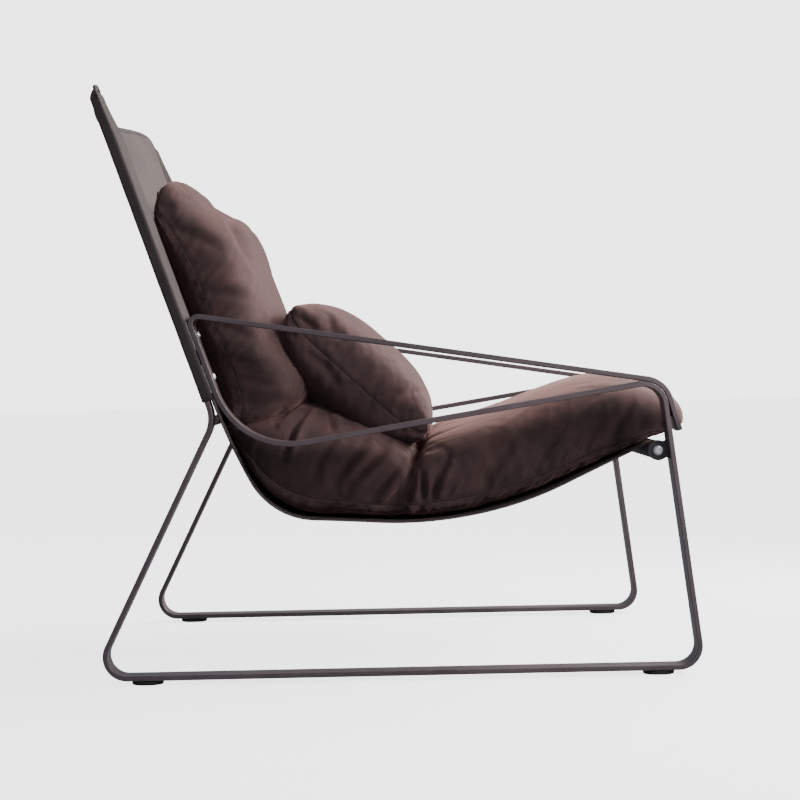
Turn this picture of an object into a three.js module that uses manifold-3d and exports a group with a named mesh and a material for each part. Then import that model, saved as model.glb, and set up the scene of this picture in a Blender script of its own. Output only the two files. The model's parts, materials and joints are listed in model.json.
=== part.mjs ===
// A sling lounge chair. Each side frame is one flat steel bar, bent round from the back upright
// through the legs and the seat rail to the arm. Two crossbars join the frames, and a leather sling
// hangs between them under a back cushion, a seat cushion and a loose lumbar pillow.
// Millimetres. +X is the front of the chair, +Y the sitter's left and +Z up.
// The origin is on the floor, under the middle of the chair.

import * as THREE from "three";
import { mergeVertices } from "three/addons/utils/BufferGeometryUtils.js";
import Module from "manifold-3d";

// Side frames: flat bar, with bend radii at the middle of the bar and leans in degrees from upright
const FRAME_WIDTH = 740; // across the outer faces of the two side frames
const BAR_WIDTH = 40;
const BAR_THICKNESS = 8;
const BAR_EDGE = 1; // broken edge along both sides of the bar
const RUNNER_LENGTH = 942; // over the two floor bends
const FLOOR_BEND_RADIUS = 34;
const REAR_LEG_LEAN = 26.2;
const FRONT_LEG_LEAN = 7.2;
const KNEE_HEIGHT = 413; // where the rear leg turns into the back upright
const KNEE_RADIUS = 55;
const BACK_LEAN = 19.15;
const UPRIGHT_HEIGHT = 917; // cut end of the back upright
const RAIL_FRONT_HEIGHT = 462.6; // where the front leg turns into the seat rail
const RAIL_FRONT_RADIUS = 35;
const RAIL_SLOPE = 8.8; // degrees, falling to the rear
const RAIL_REAR_RADIUS = 125;
const ARM_BACK_GAP = 9.5; // between the back upright and the rise of the arm
const ARM_REAR_HEIGHT = 579;
const ARM_REAR_RADIUS = 12;
const ARM_FRONT_GAP = 0.5; // between the nested front bends
const DROP_LEAN = 16; // the arm's front end, flaring away from the front leg
const DROP_HEIGHT = 384; // cut end of the arm

// Clearances
const GAP = 0.3; // between pieces that touch
const FIT = 0.4; // round a bar or tube in its leather, and round a shank in its hole

// Facets
const BEND_FACETS = 5; // in each half of a bend
const ROUND_FACETS = 20;
const HOLE_FACETS = 16;
const CROSSBAR_FACETS = 24;
const LUG_FACETS = 9;
const CUSHION_FACETS = { back: 14, seat: 10, pillow: 16 }; // across each cushion
const BACK_CUSHION_RINGS = 22;
const PILLOW_RINGS = 18;

// Glides under the runners
const GLIDE_LENGTH = 50;
const GLIDE_HEIGHT = 6.7;
const GLIDE_EDGE = 1.2;
const GLIDE_INSET = 68; // from the end of the runner to the middle of the glide
const PEG_RADIUS = 4;
const PEG_LENGTH = 5;

// Screws that hold the arm to the back upright and to the front leg
const SCREW_RADIUS = 3;
const SCREW_HEAD_RADIUS = 6;
const SCREW_HEAD_HEIGHT = 3.6;
const SCREW_SOCKET = 4; // across the flats
const SOCKET_DEPTH = 0.7; // share of the head's height
const HEAD_DOME = 0.85; // towards 0 the head gets flatter
const SCREW_BITE = 6.5; // length held in the last bar
const ARM_SCREW_HEIGHTS = { upper: 547, lower: 480 };
const ARM_SPACER_LENGTH = 48;
const DROP_SCREW_HEIGHT = 395;
const DROP_WEDGE_LENGTH = 20;
const DROP_WEDGE_WIDTH = 24;

// Crossbars
const CROSSBAR_HEIGHT = 355; // on the middle of the front leg
const CROSSBAR_RADIUS = 12;
const CROSSBAR_WALL = 2;
const LUG_RADIUS = 16;
const LUG_THICKNESS = 10;
const LUG_FOOT = 30; // welded height on the front leg
const LUG_NECK = 24; // height where the foot is narrowest
const LUG_SPREAD = 60; // degrees, where the foot leaves the round
const PLUG_LENGTH = 30;
const BOLT_RADIUS = 4;
const BOLT_LENGTH = 32;
const BOLT_HEAD_RADIUS = 8.5;
const BOLT_HEAD_HEIGHT = 5;
const BOLT_SOCKET = 5;
const REAR_CROSSBAR_RADIUS = 8;

// Leather sling
const SLING_STEP = 56; // facets along the sling, and across it
const SLING_TURN_STEP = 9; // degrees
const SLING_ACROSS = 10;
const LEATHER = 2.2;
const SLEEVE_FOOT_HEIGHT = 443; // lower end of the sleeves on the back uprights
const SLEEVE_EDGE = 1.5;
const WELT_HEIGHT = 17; // of the sewn top edge, at its ends
const WELT_CROWN = 18; // more in the middle
const WELT_THICKNESS = 4.6;
const WELT_STEP = 5;
const BACK_HOLLOW = 42; // how far the middle of the top edge lies behind the uprights
const SEAT_SLING_INSET = 8; // each edge of the seat of the sling, inside the bars
const SLING_TURN = { height: 378.4, radius: 860 }; // where the sling leaves the line of the back
const CROOK = { forward: 65.9, depth: 123.2, radius: 122 }; // from the turn
const SAG = { forward: 395.8, depth: 142.8, radius: 620 }; // from the turn

// Cushions
const CUSHION_SEAM = 0.3; // share of the thickness that lies behind or below the side seam
const CUSHION_BLUNTNESS = 0.48; // of the sides: towards 0 they get squarer, at 1 they are thin
const CUSHION_FULLNESS = 0.75; // of the corners: towards 0 they get fuller
const BACK_CUSHION_INSET = 28; // each side seam, inside the bars
const BACK_CUSHION_BOTTOM = 40.5; // along the back, from the turn of the sling
const BACK_CUSHION_TOP = 408.5;
const BACK_CUSHION_FRONT = {
  crest: { level: 1.05, out: 67 }, // level as a share of the height, out from the sling
  shoulder: { level: 0.98, out: 96 },
  chest: { level: 0.84, out: 130 },
  waist: { level: 0.56, out: 144 },
  lumbar: { level: 0.2, out: 131 },
  foot: { level: 0, out: 134 },
  underside: { level: -0.06, out: 116 },
};
const BACK_CUSHION_SEAMS = { top: 24, bottom: 63 }; // out from the sling
const BACK_CUSHION_DRAW = 0.03; // share of the width drawn in between the corners
const BACK_CUSHION_SETTLE = 0.9; // share of the hollow of the sling that it fills
const SEAT_CUSHION_INSET = 19;
const SEAT_CUSHION_DRAW = 0.02;
const SEAT_REAR_RISE = 149; // from the crook up to the end of the cushion behind the sitter
const SEAT_SHOULDER = { forward: -16, height: 168 }; // top of the seat cushion, from the crook
const SEAT_REAR_CROWN = { forward: 42, height: 179 };
const SEAT_REAR_SLOPE = { forward: 125, height: 163 };
const SEAT_CHANNEL = { forward: -372, height: -10, width: 46, depth: 30 }; // from the front crossbar
const SEAT_FRONT_SLOPE = { forward: -240, height: 63 };
const SEAT_FRONT_CROWN = { forward: -60, height: 119 };
const SEAT_BROW = { forward: 35, height: 96 };
const SEAT_NOSE = { forward: 54, height: 60 };
const SEAT_FRONT_SEAM = { forward: 50, height: 36 };
const SEAT_FRONT_FOOT = { forward: 26, height: 22 };
const SEAT_CHANNEL_PINCH = 0.025; // share of the width drawn in at the channel
const PILLOW_LENGTH = 500;
const PILLOW_HEIGHT = 303;
const PILLOW_CROWN = 77;
const PILLOW_BELLY = 74;
const PILLOW_TILT = 42.7; // degrees below level, falling to the front
const PILLOW_MIDDLE = { forward: 142.5, height: 228.4 }; // from the crook
const PILLOW_DRAW = 0.05;
const PILLOW_BLUNTNESS = 0.9; // of the long edges

const STEEL = { color: 0x4a4346, roughness: 0.5, metalness: 0.6 };
const BRIGHT_STEEL = { color: 0xc9c9cc, roughness: 0.25, metalness: 1 };
const RUBBER = { color: 0x1c1b1c, roughness: 0.85, metalness: 0 };
const SLING_LEATHER = { color: 0x8a7f7c, roughness: 0.55, metalness: 0 };
const CUSHION_LEATHER = { color: 0x5a4440, roughness: 0.85, metalness: 0 };

const wasm = await Module();
wasm.setup();
const chair = new THREE.Group();
const SIDES = { right: -1, left: 1 };

// Plane geometry of the side view: x is forwards and y is up

const radians = THREE.MathUtils.degToRad;
const point = (x, y) => new THREE.Vector2(x, y);
const leaning = (degrees) => point(Math.sin(radians(degrees)), Math.cos(radians(degrees)));
const leftOf = (d) => point(-d.y, d.x);
const along = (p, d, distance) => p.clone().addScaledVector(d, distance);
const atHeight = (p, d, height) => along(p, d, (height - p.y) / d.y);

// Where the line through p along d meets the line through q along e.
function meeting(p, d, q, e) {
  return along(p, d, q.clone().sub(p).cross(e) / d.cross(e));
}

// Unit direction from p to the point where its upper tangent touches a circle.
function upperTangent(p, centre, radius) {
  const sight = centre.clone().sub(p);
  const lift = Math.asin(radius / sight.length());
  return sight.normalize().rotateAround(point(0, 0), lift);
}

// The bends of a line through corners [{ at, radius }]: where each starts, its centre and its turn.
function bendsOf(corners) {
  return corners.slice(1, -1).map(({ at, radius }, i) => {
    const before = at.clone().sub(corners[i].at).normalize();
    const after = corners[i + 2].at.clone().sub(at).normalize();
    const turn = Math.atan2(before.cross(after), before.dot(after));
    const side = Math.sign(turn);
    const start = along(at, before, -radius * Math.tan(Math.abs(turn) / 2));
    const centre = along(start, leftOf(before), side * radius);
    return { before, after, turn, side, radius, start, centre };
  });
}

// Outline of a bar of even thickness whose middle follows the corners.
function barOutline(corners, thickness) {
  const bends = bendsOf(corners);
  const first = corners[0].at;
  const last = corners.at(-1).at;
  const heading = (from, to) => to.clone().sub(from).normalize();
  const startNormal = leftOf(heading(first, corners[1].at));
  const endNormal = leftOf(heading(corners.at(-2).at, last));
  const half = thickness / 2;
  const outline = new THREE.Shape();
  const bend = (b, offset, from, to, clockwise) => {
    const radius = b.radius - b.side * offset;
    const angle = (d) => leftOf(d).multiplyScalar(-b.side).angle();
    outline.absarc(b.centre.x, b.centre.y, radius, angle(from), angle(to), clockwise);
  };
  const line = (p, normal, offset) => {
    const q = along(p, normal, offset);
    outline.lineTo(q.x, q.y);
  };
  const begin = along(first, startNormal, half);
  outline.moveTo(begin.x, begin.y);
  bends.forEach((b) => bend(b, half, b.before, b.after, b.side < 0));
  line(last, endNormal, half);
  line(last, endNormal, -half);
  bends.toReversed().forEach((b) => bend(b, -half, b.after, b.before, b.side > 0));
  line(first, startNormal, -half);
  outline.closePath();
  return outline;
}

// Points with forward-left normals along a line through corners, no further apart than the step.
function stationsOf(corners, step, turnStep) {
  const stations = [];
  const add = (p, d) => stations.push({ at: p, normal: leftOf(d) });
  const straight = (from, to, d) => {
    const count = Math.max(1, Math.ceil(from.distanceTo(to) / step));
    for (let i = 0; i < count; i++) add(from.clone().lerp(to, i / count), d);
  };
  let from = corners[0].at;
  for (const b of bendsOf(corners)) {
    straight(from, b.start, b.before);
    const turn = Math.abs(b.turn);
    const count = Math.max(Math.ceil(turn / radians(turnStep)), Math.ceil((turn * b.radius) / step));
    for (let i = 0; i < count; i++) {
      const turned = (b.turn * i) / count;
      const zero = point(0, 0);
      add(b.start.clone().rotateAround(b.centre, turned), b.before.clone().rotateAround(zero, turned));
    }
    from = b.start.clone().rotateAround(b.centre, b.turn);
  }
  const to = corners.at(-1).at;
  const heading = to.clone().sub(corners.at(-2).at).normalize();
  straight(from, to, heading);
  add(to, heading);
  return stations;
}

// Solids

// The merged triangles of a closed geometry as a solid that can be cut and joined.
function solidOf(geometry) {
  geometry.deleteAttribute("normal");
  geometry.deleteAttribute("uv");
  const merged = mergeVertices(geometry, 1e-3);
  const index = merged.index.array;
  const triVerts = [];
  for (let i = 0; i < index.length; i += 3) {
    const [a, b, c] = index.slice(i, i + 3);
    if (a !== b && b !== c && c !== a) triVerts.push(a, b, c);
  }
  const vertProperties = merged.attributes.position.array;
  return new wasm.Manifold(
    new wasm.Mesh({ numProp: 3, vertProperties, triVerts: new Uint32Array(triVerts) }),
  );
}

function geometryOf(solid) {
  const { vertProperties, triVerts } = solid.getMesh();
  return new THREE.BufferGeometry()
    .setAttribute("position", new THREE.BufferAttribute(vertProperties, 3))
    .setIndex(new THREE.BufferAttribute(triVerts, 1));
}

function add(name, solid, finish) {
  const geometry = geometryOf(solid);
  geometry.computeVertexNormals();
  const mesh = new THREE.Mesh(geometry, new THREE.MeshStandardMaterial(finish));
  mesh.name = name;
  chair.add(mesh);
}

// A side-view outline given a width across the chair, with its middle at y = 0.
function widened(outline, width, edge, curveSegments) {
  const geometry = new THREE.ExtrudeGeometry(outline, {
    depth: width - 2 * edge,
    curveSegments,
    bevelEnabled: edge > 0,
    bevelThickness: edge,
    bevelSize: edge,
    bevelOffset: -edge,
    bevelSegments: 1,
  });
  return geometry.translate(0, 0, edge - width / 2).rotateX(Math.PI / 2);
}

// A side-view outline made solid across the chair, from y - width / 2 to y + width / 2.
function across(outline, width, y, edge = 0, curveSegments = BEND_FACETS) {
  return solidOf(widened(outline, width, edge, curveSegments).translate(0, y, 0));
}

// A turned solid: its profile of [radius, distance] runs along an axis from a point in space.
function turned(profile, from, axis, segments = ROUND_FACETS) {
  const geometry = new THREE.LatheGeometry(
    profile.map(([radius, distance]) => point(radius, distance)),
    segments,
  );
  const turn = new THREE.Quaternion().setFromUnitVectors(new THREE.Vector3(0, 1, 0), axis);
  geometry.applyQuaternion(turn).translate(from.x, from.y, from.z);
  return solidOf(geometry);
}

function rod(radius, from, axis, length, segments = ROUND_FACETS) {
  const profile = [[0, 0], [radius, 0], [radius, length], [0, length]];
  return turned(profile, from, axis, segments);
}

const inSpace = (p, y) => new THREE.Vector3(p.x, y, p.y);

// A dome-headed screw with a hexagon socket. Its head seats at a point and its shank runs on along the axis.
function screw({ radius, length, headRadius, headHeight, socket }, seat, axis) {
  const dome = [0.25, 0.5, 0.75, 1].map((share) => [
    headRadius * Math.sqrt(1 - (HEAD_DOME * share) ** 2),
    -headHeight * share,
  ]);
  const profile = [...dome.toReversed(), [headRadius, 0], [radius, 0], [radius, length]];
  const body = turned([[0, -headHeight], ...profile, [0, length]], seat, axis);
  const mouth = seat.clone().addScaledVector(axis, -headHeight - 1);
  const flats = rod(socket / Math.sqrt(3), mouth, axis, 1 + headHeight * SOCKET_DEPTH, 6);
  return body.subtract(flats);
}

// A closed skin over rings of equal count, each ring running out along the front and back behind.
function skinOver(rings) {
  const count = rings[0].length;
  const vertices = rings.flat().flatMap((p) => [p.x, p.y, p.z]);
  const faces = [];
  const quad = (a, b, c, d) => faces.push(a, c, b, a, d, c);
  for (let i = 0; i + 1 < rings.length; i++)
    for (let j = 0; j < count; j++) {
      const k = (j + 1) % count;
      quad(i * count + j, i * count + k, (i + 1) * count + k, (i + 1) * count + j);
    }
  const end = (rings.length - 1) * count;
  for (let j = 0; j + 1 < count / 2; j++) {
    quad(j, count - 1 - j, count - 2 - j, j + 1);
    quad(end + j, end + j + 1, end + count - 2 - j, end + count - 1 - j);
  }
  return solidOf(
    new THREE.BufferGeometry()
      .setAttribute("position", new THREE.Float32BufferAttribute(vertices, 3))
      .setIndex(faces),
  );
}

// Side frame: the corners of the bent bar, from the top of the back to the front end of the arm

const runnerLevel = GLIDE_HEIGHT + GAP + BAR_THICKNESS / 2;
const floorBendMiddle = RUNNER_LENGTH / 2 - FLOOR_BEND_RADIUS - BAR_THICKNESS / 2;
const floorCorner = (lean) =>
  floorBendMiddle + FLOOR_BEND_RADIUS * Math.tan(radians(90 + lean) / 2);
const rearFloor = point(-floorCorner(REAR_LEG_LEAN), runnerLevel);
const frontFloor = point(floorCorner(FRONT_LEG_LEAN), runnerLevel);
const backUp = leaning(-BACK_LEAN);
const backFront = leftOf(backUp).negate(); // square to the back, towards the sitter
const legUp = leaning(-FRONT_LEG_LEAN);
const legFront = leftOf(legUp).negate();
const knee = atHeight(rearFloor, leaning(REAR_LEG_LEAN), KNEE_HEIGHT);
const uprightTop = atHeight(knee, backUp, UPRIGHT_HEIGHT);
const railFront = atHeight(frontFloor, legUp, RAIL_FRONT_HEIGHT);
const railRearward = leaning(-90 - RAIL_SLOPE);
const riseFoot = along(knee, backFront, BAR_THICKNESS + ARM_BACK_GAP);
const railRear = meeting(railFront, railRearward, riseFoot, backUp);
const armRear = atHeight(riseFoot, backUp, ARM_REAR_HEIGHT);
const [railBend] = bendsOf([
  { at: frontFloor },
  { at: railFront, radius: RAIL_FRONT_RADIUS },
  { at: railRear },
]);
const armBendRadius = RAIL_FRONT_RADIUS + BAR_THICKNESS + ARM_FRONT_GAP;
const armForward = upperTangent(armRear, railBend.centre, armBendRadius);
const dropDown = leaning(180 - DROP_LEAN);
const dropTop = along(railBend.centre, leftOf(dropDown), armBendRadius);
const armFront = meeting(armRear, armForward, dropTop, dropDown);
const dropEnd = atHeight(dropTop, dropDown, DROP_HEIGHT);

const frameCorners = [
  { at: uprightTop },
  { at: knee, radius: KNEE_RADIUS },
  { at: rearFloor, radius: FLOOR_BEND_RADIUS },
  { at: frontFloor, radius: FLOOR_BEND_RADIUS },
  { at: railFront, radius: RAIL_FRONT_RADIUS },
  { at: railRear, radius: RAIL_REAR_RADIUS },
  { at: armRear, radius: ARM_REAR_RADIUS },
  { at: armFront, radius: armBendRadius },
  { at: dropEnd },
];
const barMiddle = (FRAME_WIDTH - BAR_WIDTH) / 2;
const barInner = FRAME_WIDTH / 2 - BAR_WIDTH;
const seatSlingEdge = barInner - SEAT_SLING_INSET;

// Seats of the screws, on the middle of the bars
const half = BAR_THICKNESS / 2;
const armScrewSeats = Object.entries(ARM_SCREW_HEIGHTS).map(([name, height]) => ({
  name,
  at: atHeight(riseFoot, backUp, height),
}));
const dropScrewSeat = atHeight(frontFloor, legUp, DROP_SCREW_HEIGHT);
const dropRear = along(dropTop, leftOf(dropDown), -half); // a point on the rear face of the drop
const legToDrop = (p, reach) => meeting(p, legFront, along(dropRear, leftOf(dropDown), -reach), dropDown);
const dropSpan = legToDrop(dropScrewSeat, 0).distanceTo(dropScrewSeat) - half;

// Crossbars
const crossbar = along(
  atHeight(frontFloor, legUp, CROSSBAR_HEIGHT),
  legFront,
  -(half + GAP + LUG_RADIUS),
);
const lugInner = barMiddle - LUG_THICKNESS / 2;
const slingOffset = half + FIT + LEATHER / 2; // middle of the sling in front of the middle of the upright
const rearCrossbar = along(knee, backFront, slingOffset - LEATHER / 2 - GAP - REAR_CROSSBAR_RADIUS);

const glideAt = RUNNER_LENGTH / 2 - GLIDE_INSET;
const ends = { rear: -glideAt, front: glideAt };
const acrossChair = new THREE.Vector3(0, 1, 0);
const upwards = new THREE.Vector3(0, 0, 1);

function sideFrame(y) {
  let frame = across(barOutline(frameCorners, BAR_THICKNESS), BAR_WIDTH, y, BAR_EDGE);
  const drill = (seat, axis, depth, radius) => {
    frame = frame.subtract(rod(radius + FIT, seat, axis, depth, HOLE_FACETS));
  };
  for (const { at } of armScrewSeats) {
    const depth = 3 * BAR_THICKNESS + ARM_BACK_GAP;
    const start = inSpace(along(at, backFront, BAR_THICKNESS), y);
    drill(start, inSpace(backFront, 0).negate(), depth, SCREW_RADIUS);
  }
  const drillStart = along(dropScrewSeat, legFront, -BAR_THICKNESS);
  drill(inSpace(drillStart, y), inSpace(legFront, 0), 3 * BAR_THICKNESS + dropSpan, SCREW_RADIUS);
  for (const x of Object.values(ends))
    drill(new THREE.Vector3(x, y, 0), upwards, GLIDE_HEIGHT + PEG_LENGTH + FIT, PEG_RADIUS);
  return frame;
}

// A round-ended pad with a moulded peg that holds it in the runner.
function glide(x, y) {
  const end = (GLIDE_LENGTH - BAR_WIDTH) / 2;
  const outline = new THREE.Shape();
  outline.absarc(x + end, 0, BAR_WIDTH / 2, -Math.PI / 2, Math.PI / 2);
  outline.absarc(x - end, 0, BAR_WIDTH / 2, Math.PI / 2, Math.PI * 1.5);
  outline.closePath();
  const pad = new THREE.ExtrudeGeometry(outline, {
    depth: GLIDE_HEIGHT - 2 * GLIDE_EDGE,
    curveSegments: BEND_FACETS,
    bevelThickness: GLIDE_EDGE,
    bevelSize: GLIDE_EDGE,
    bevelOffset: -GLIDE_EDGE,
    bevelSegments: 1,
  });
  pad.translate(0, y, GLIDE_EDGE);
  const pegFoot = new THREE.Vector3(x, y, GLIDE_HEIGHT / 2);
  const peg = rod(PEG_RADIUS, pegFoot, upwards, GLIDE_HEIGHT / 2 + PEG_LENGTH, HOLE_FACETS);
  return solidOf(pad).add(peg);
}

const armScrew = {
  radius: SCREW_RADIUS,
  headRadius: SCREW_HEAD_RADIUS,
  headHeight: SCREW_HEAD_HEIGHT,
  socket: SCREW_SOCKET,
};
const crossbarBolt = {
  radius: BOLT_RADIUS,
  length: BOLT_LENGTH,
  headRadius: BOLT_HEAD_RADIUS,
  headHeight: BOLT_HEAD_HEIGHT,
  socket: BOLT_SOCKET,
};

// Block between the leather on the back upright and the rise of the arm.
function armSpacer({ at }, y) {
  const front = along(at, backFront, -half - GAP);
  const thickness = ARM_BACK_GAP - FIT - LEATHER - 2 * GAP;
  const middle = along(front, backFront, -thickness / 2);
  const corners = [-0.5, 0.5].map((share) => ({ at: along(middle, backUp, share * ARM_SPACER_LENGTH) }));
  const block = across(barOutline(corners, thickness), BAR_WIDTH, y, BAR_EDGE);
  const start = inSpace(along(at, backFront, BAR_THICKNESS), y);
  const reach = 2 * BAR_THICKNESS + ARM_BACK_GAP;
  const hole = rod(SCREW_RADIUS + FIT, start, inSpace(backFront, 0).negate(), reach, HOLE_FACETS);
  return block.subtract(hole);
}

// Tapered block between the front leg and the flaring end of the arm.
function dropWedge(y) {
  const outline = new THREE.Shape();
  const edge = (share) => along(dropScrewSeat, legUp, share * DROP_WEDGE_LENGTH);
  const corners = [
    along(edge(-0.5), legFront, half + GAP),
    legToDrop(edge(-0.5), GAP),
    legToDrop(edge(0.5), GAP),
    along(edge(0.5), legFront, half + GAP),
  ];
  outline.setFromPoints(corners).closePath();
  const start = inSpace(dropScrewSeat, y);
  const reach = BAR_THICKNESS + dropSpan;
  const hole = rod(SCREW_RADIUS + FIT, start, inSpace(legFront, 0), reach, HOLE_FACETS);
  return across(outline, DROP_WEDGE_WIDTH, y).subtract(hole);
}

// Round lug, welded by its foot to the rear of the front leg, that carries an end of the crossbar.
function lug(y) {
  const spread = radians(LUG_SPREAD);
  const side = point(LUG_RADIUS * Math.cos(spread), LUG_RADIUS * Math.sin(spread));
  const outline = new THREE.Shape();
  outline.moveTo(LUG_RADIUS, LUG_FOOT / 2);
  outline.quadraticCurveTo((side.x + LUG_RADIUS) / 2, LUG_NECK / 2, side.x, side.y);
  outline.absarc(0, 0, LUG_RADIUS, spread, -spread + 2 * Math.PI);
  outline.quadraticCurveTo((side.x + LUG_RADIUS) / 2, -LUG_NECK / 2, LUG_RADIUS, -LUG_FOOT / 2);
  outline.closePath();
  const body = widened(outline, LUG_THICKNESS, 0, LUG_FACETS)
    .rotateY(-radians(FRONT_LEG_LEAN))
    .translate(crossbar.x, y, crossbar.y);
  const boreStart = inSpace(crossbar, y - LUG_THICKNESS);
  const bore = rod(BOLT_RADIUS + FIT, boreStart, acrossChair, 2 * LUG_THICKNESS, HOLE_FACETS);
  return solidOf(body).subtract(bore);
}

// Tubes and plugs run across the chair: a hollow profile from y = start to y = end.
function tube(outer, inner, centre, start, end) {
  const length = end - start;
  const profile = [[inner, 0], [outer, 0], [outer, length], [inner, length], [inner, 0]];
  return turned(profile, inSpace(centre, start), acrossChair, CROSSBAR_FACETS);
}

for (const [side, sign] of Object.entries(SIDES)) {
  const y = sign * barMiddle;
  const outwards = new THREE.Vector3(0, sign, 0);
  add(`side_frame_${side}`, sideFrame(y), STEEL);
  for (const [end, x] of Object.entries(ends)) add(`glide_${end}_${side}`, glide(x, y), RUBBER);
  for (const seat of armScrewSeats) {
    const head = inSpace(along(seat.at, backFront, half + GAP), y);
    const length = BAR_THICKNESS + GAP + ARM_BACK_GAP + SCREW_BITE;
    add(`arm_spacer_${seat.name}_${side}`, armSpacer(seat, y), STEEL);
    add(
      `arm_screw_${seat.name}_${side}`,
      screw({ ...armScrew, length }, head, inSpace(backFront, 0).negate()),
      BRIGHT_STEEL,
    );
  }
  const dropHead = inSpace(along(dropScrewSeat, legFront, -half - GAP), y);
  const dropLength = BAR_THICKNESS + GAP + dropSpan + SCREW_BITE;
  add(`drop_wedge_${side}`, dropWedge(y), STEEL);
  add(
    `drop_screw_${side}`,
    screw({ ...armScrew, length: dropLength }, dropHead, inSpace(legFront, 0)),
    BRIGHT_STEEL,
  );
  add(`crossbar_lug_${side}`, lug(y), STEEL);
  const plugEnds = [lugInner - GAP, lugInner - GAP - PLUG_LENGTH].map((reach) => sign * reach);
  const plugRadius = CROSSBAR_RADIUS - CROSSBAR_WALL - GAP;
  add(
    `crossbar_plug_${side}`,
    tube(plugRadius, BOLT_RADIUS + FIT, crossbar, Math.min(...plugEnds), Math.max(...plugEnds)),
    STEEL,
  );
  const boltSeat = inSpace(crossbar, sign * (barMiddle + LUG_THICKNESS / 2 + GAP));
  add(`crossbar_bolt_${side}`, screw(crossbarBolt, boltSeat, outwards.clone().negate()), BRIGHT_STEEL);
}
const crossbarEnd = lugInner - GAP;
add(
  "front_crossbar",
  tube(CROSSBAR_RADIUS, CROSSBAR_RADIUS - CROSSBAR_WALL, crossbar, -crossbarEnd, crossbarEnd),
  STEEL,
);
const rearCrossbarEnd = barInner - GAP;
add(
  "rear_crossbar",
  rod(REAR_CROSSBAR_RADIUS, inSpace(rearCrossbar, -rearCrossbarEnd), acrossChair, 2 * rearCrossbarEnd),
  STEEL,
);

// Leather sling: one line in side view, from the welt at the top of the back to the front crossbar

const backLine = along(knee, backFront, slingOffset);
const slingTop = along(along(uprightTop, backFront, slingOffset), backUp, FIT + LEATHER);
const slingTurn = atHeight(backLine, backUp, SLING_TURN.height);
const crook = point(slingTurn.x + CROOK.forward, slingTurn.y - CROOK.depth);
const sag = point(slingTurn.x + SAG.forward, slingTurn.y - SAG.depth);
const hemRadius = CROSSBAR_RADIUS + FIT + LEATHER / 2;
const slingEnd = (() => {
  const rise = upperTangent(sag, crossbar, hemRadius);
  return along(crossbar, leftOf(rise), hemRadius);
})();
const slingCorners = [
  { at: slingTop },
  { at: slingTurn, radius: SLING_TURN.radius },
  { at: crook, radius: CROOK.radius },
  { at: sag, radius: SAG.radius },
  { at: slingEnd },
];
const slingStations = stationsOf(slingCorners, SLING_STEP, SLING_TURN_STEP);

// How far the sling lies behind the line of the uprights: most in the middle of the top edge.
function hollow(at, y) {
  const height = (at.y - SLEEVE_FOOT_HEIGHT) / (uprightTop.y - SLEEVE_FOOT_HEIGHT);
  const share = Math.min(1, Math.abs(y) / barInner);
  return height > 0 ? BACK_HOLLOW * height * (1 - share ** 2) ** 2 : 0;
}

// A point in space at a station of the sling, at a place across it and a height off its middle.
function onSling({ at, normal }, y, off) {
  return inSpace(along(at, normal, off - hollow(at, y)), y);
}

// A sheet over stations, raised along the back by a lift.
function leatherSheet(stations, halfWidth, thickness, lift = () => 0) {
  const shares = Array.from({ length: SLING_ACROSS + 1 }, (_, j) => (2 * j) / SLING_ACROSS - 1);
  return skinOver(
    stations.map(({ at, normal }) => {
      const edge = halfWidth(at);
      const place = (y, off) => onSling({ at: along(at, backUp, lift(at, y)), normal }, y, off);
      const front = shares.map((share) => place(share * edge, thickness / 2));
      const back = shares.map((share) => place(share * edge, -thickness / 2));
      return [...front, ...back.toReversed()];
    }),
  );
}

const sleeveEdge = barInner - FIT - LEATHER / 2; // the sheet runs into the sleeves' inner walls
const slingEdge = (at) => {
  const freed = THREE.MathUtils.smoothstep(SLEEVE_FOOT_HEIGHT - at.y, 0, SLEEVE_FOOT_HEIGHT - KNEE_HEIGHT);
  return THREE.MathUtils.lerp(sleeveEdge, seatSlingEdge, freed);
};

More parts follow.
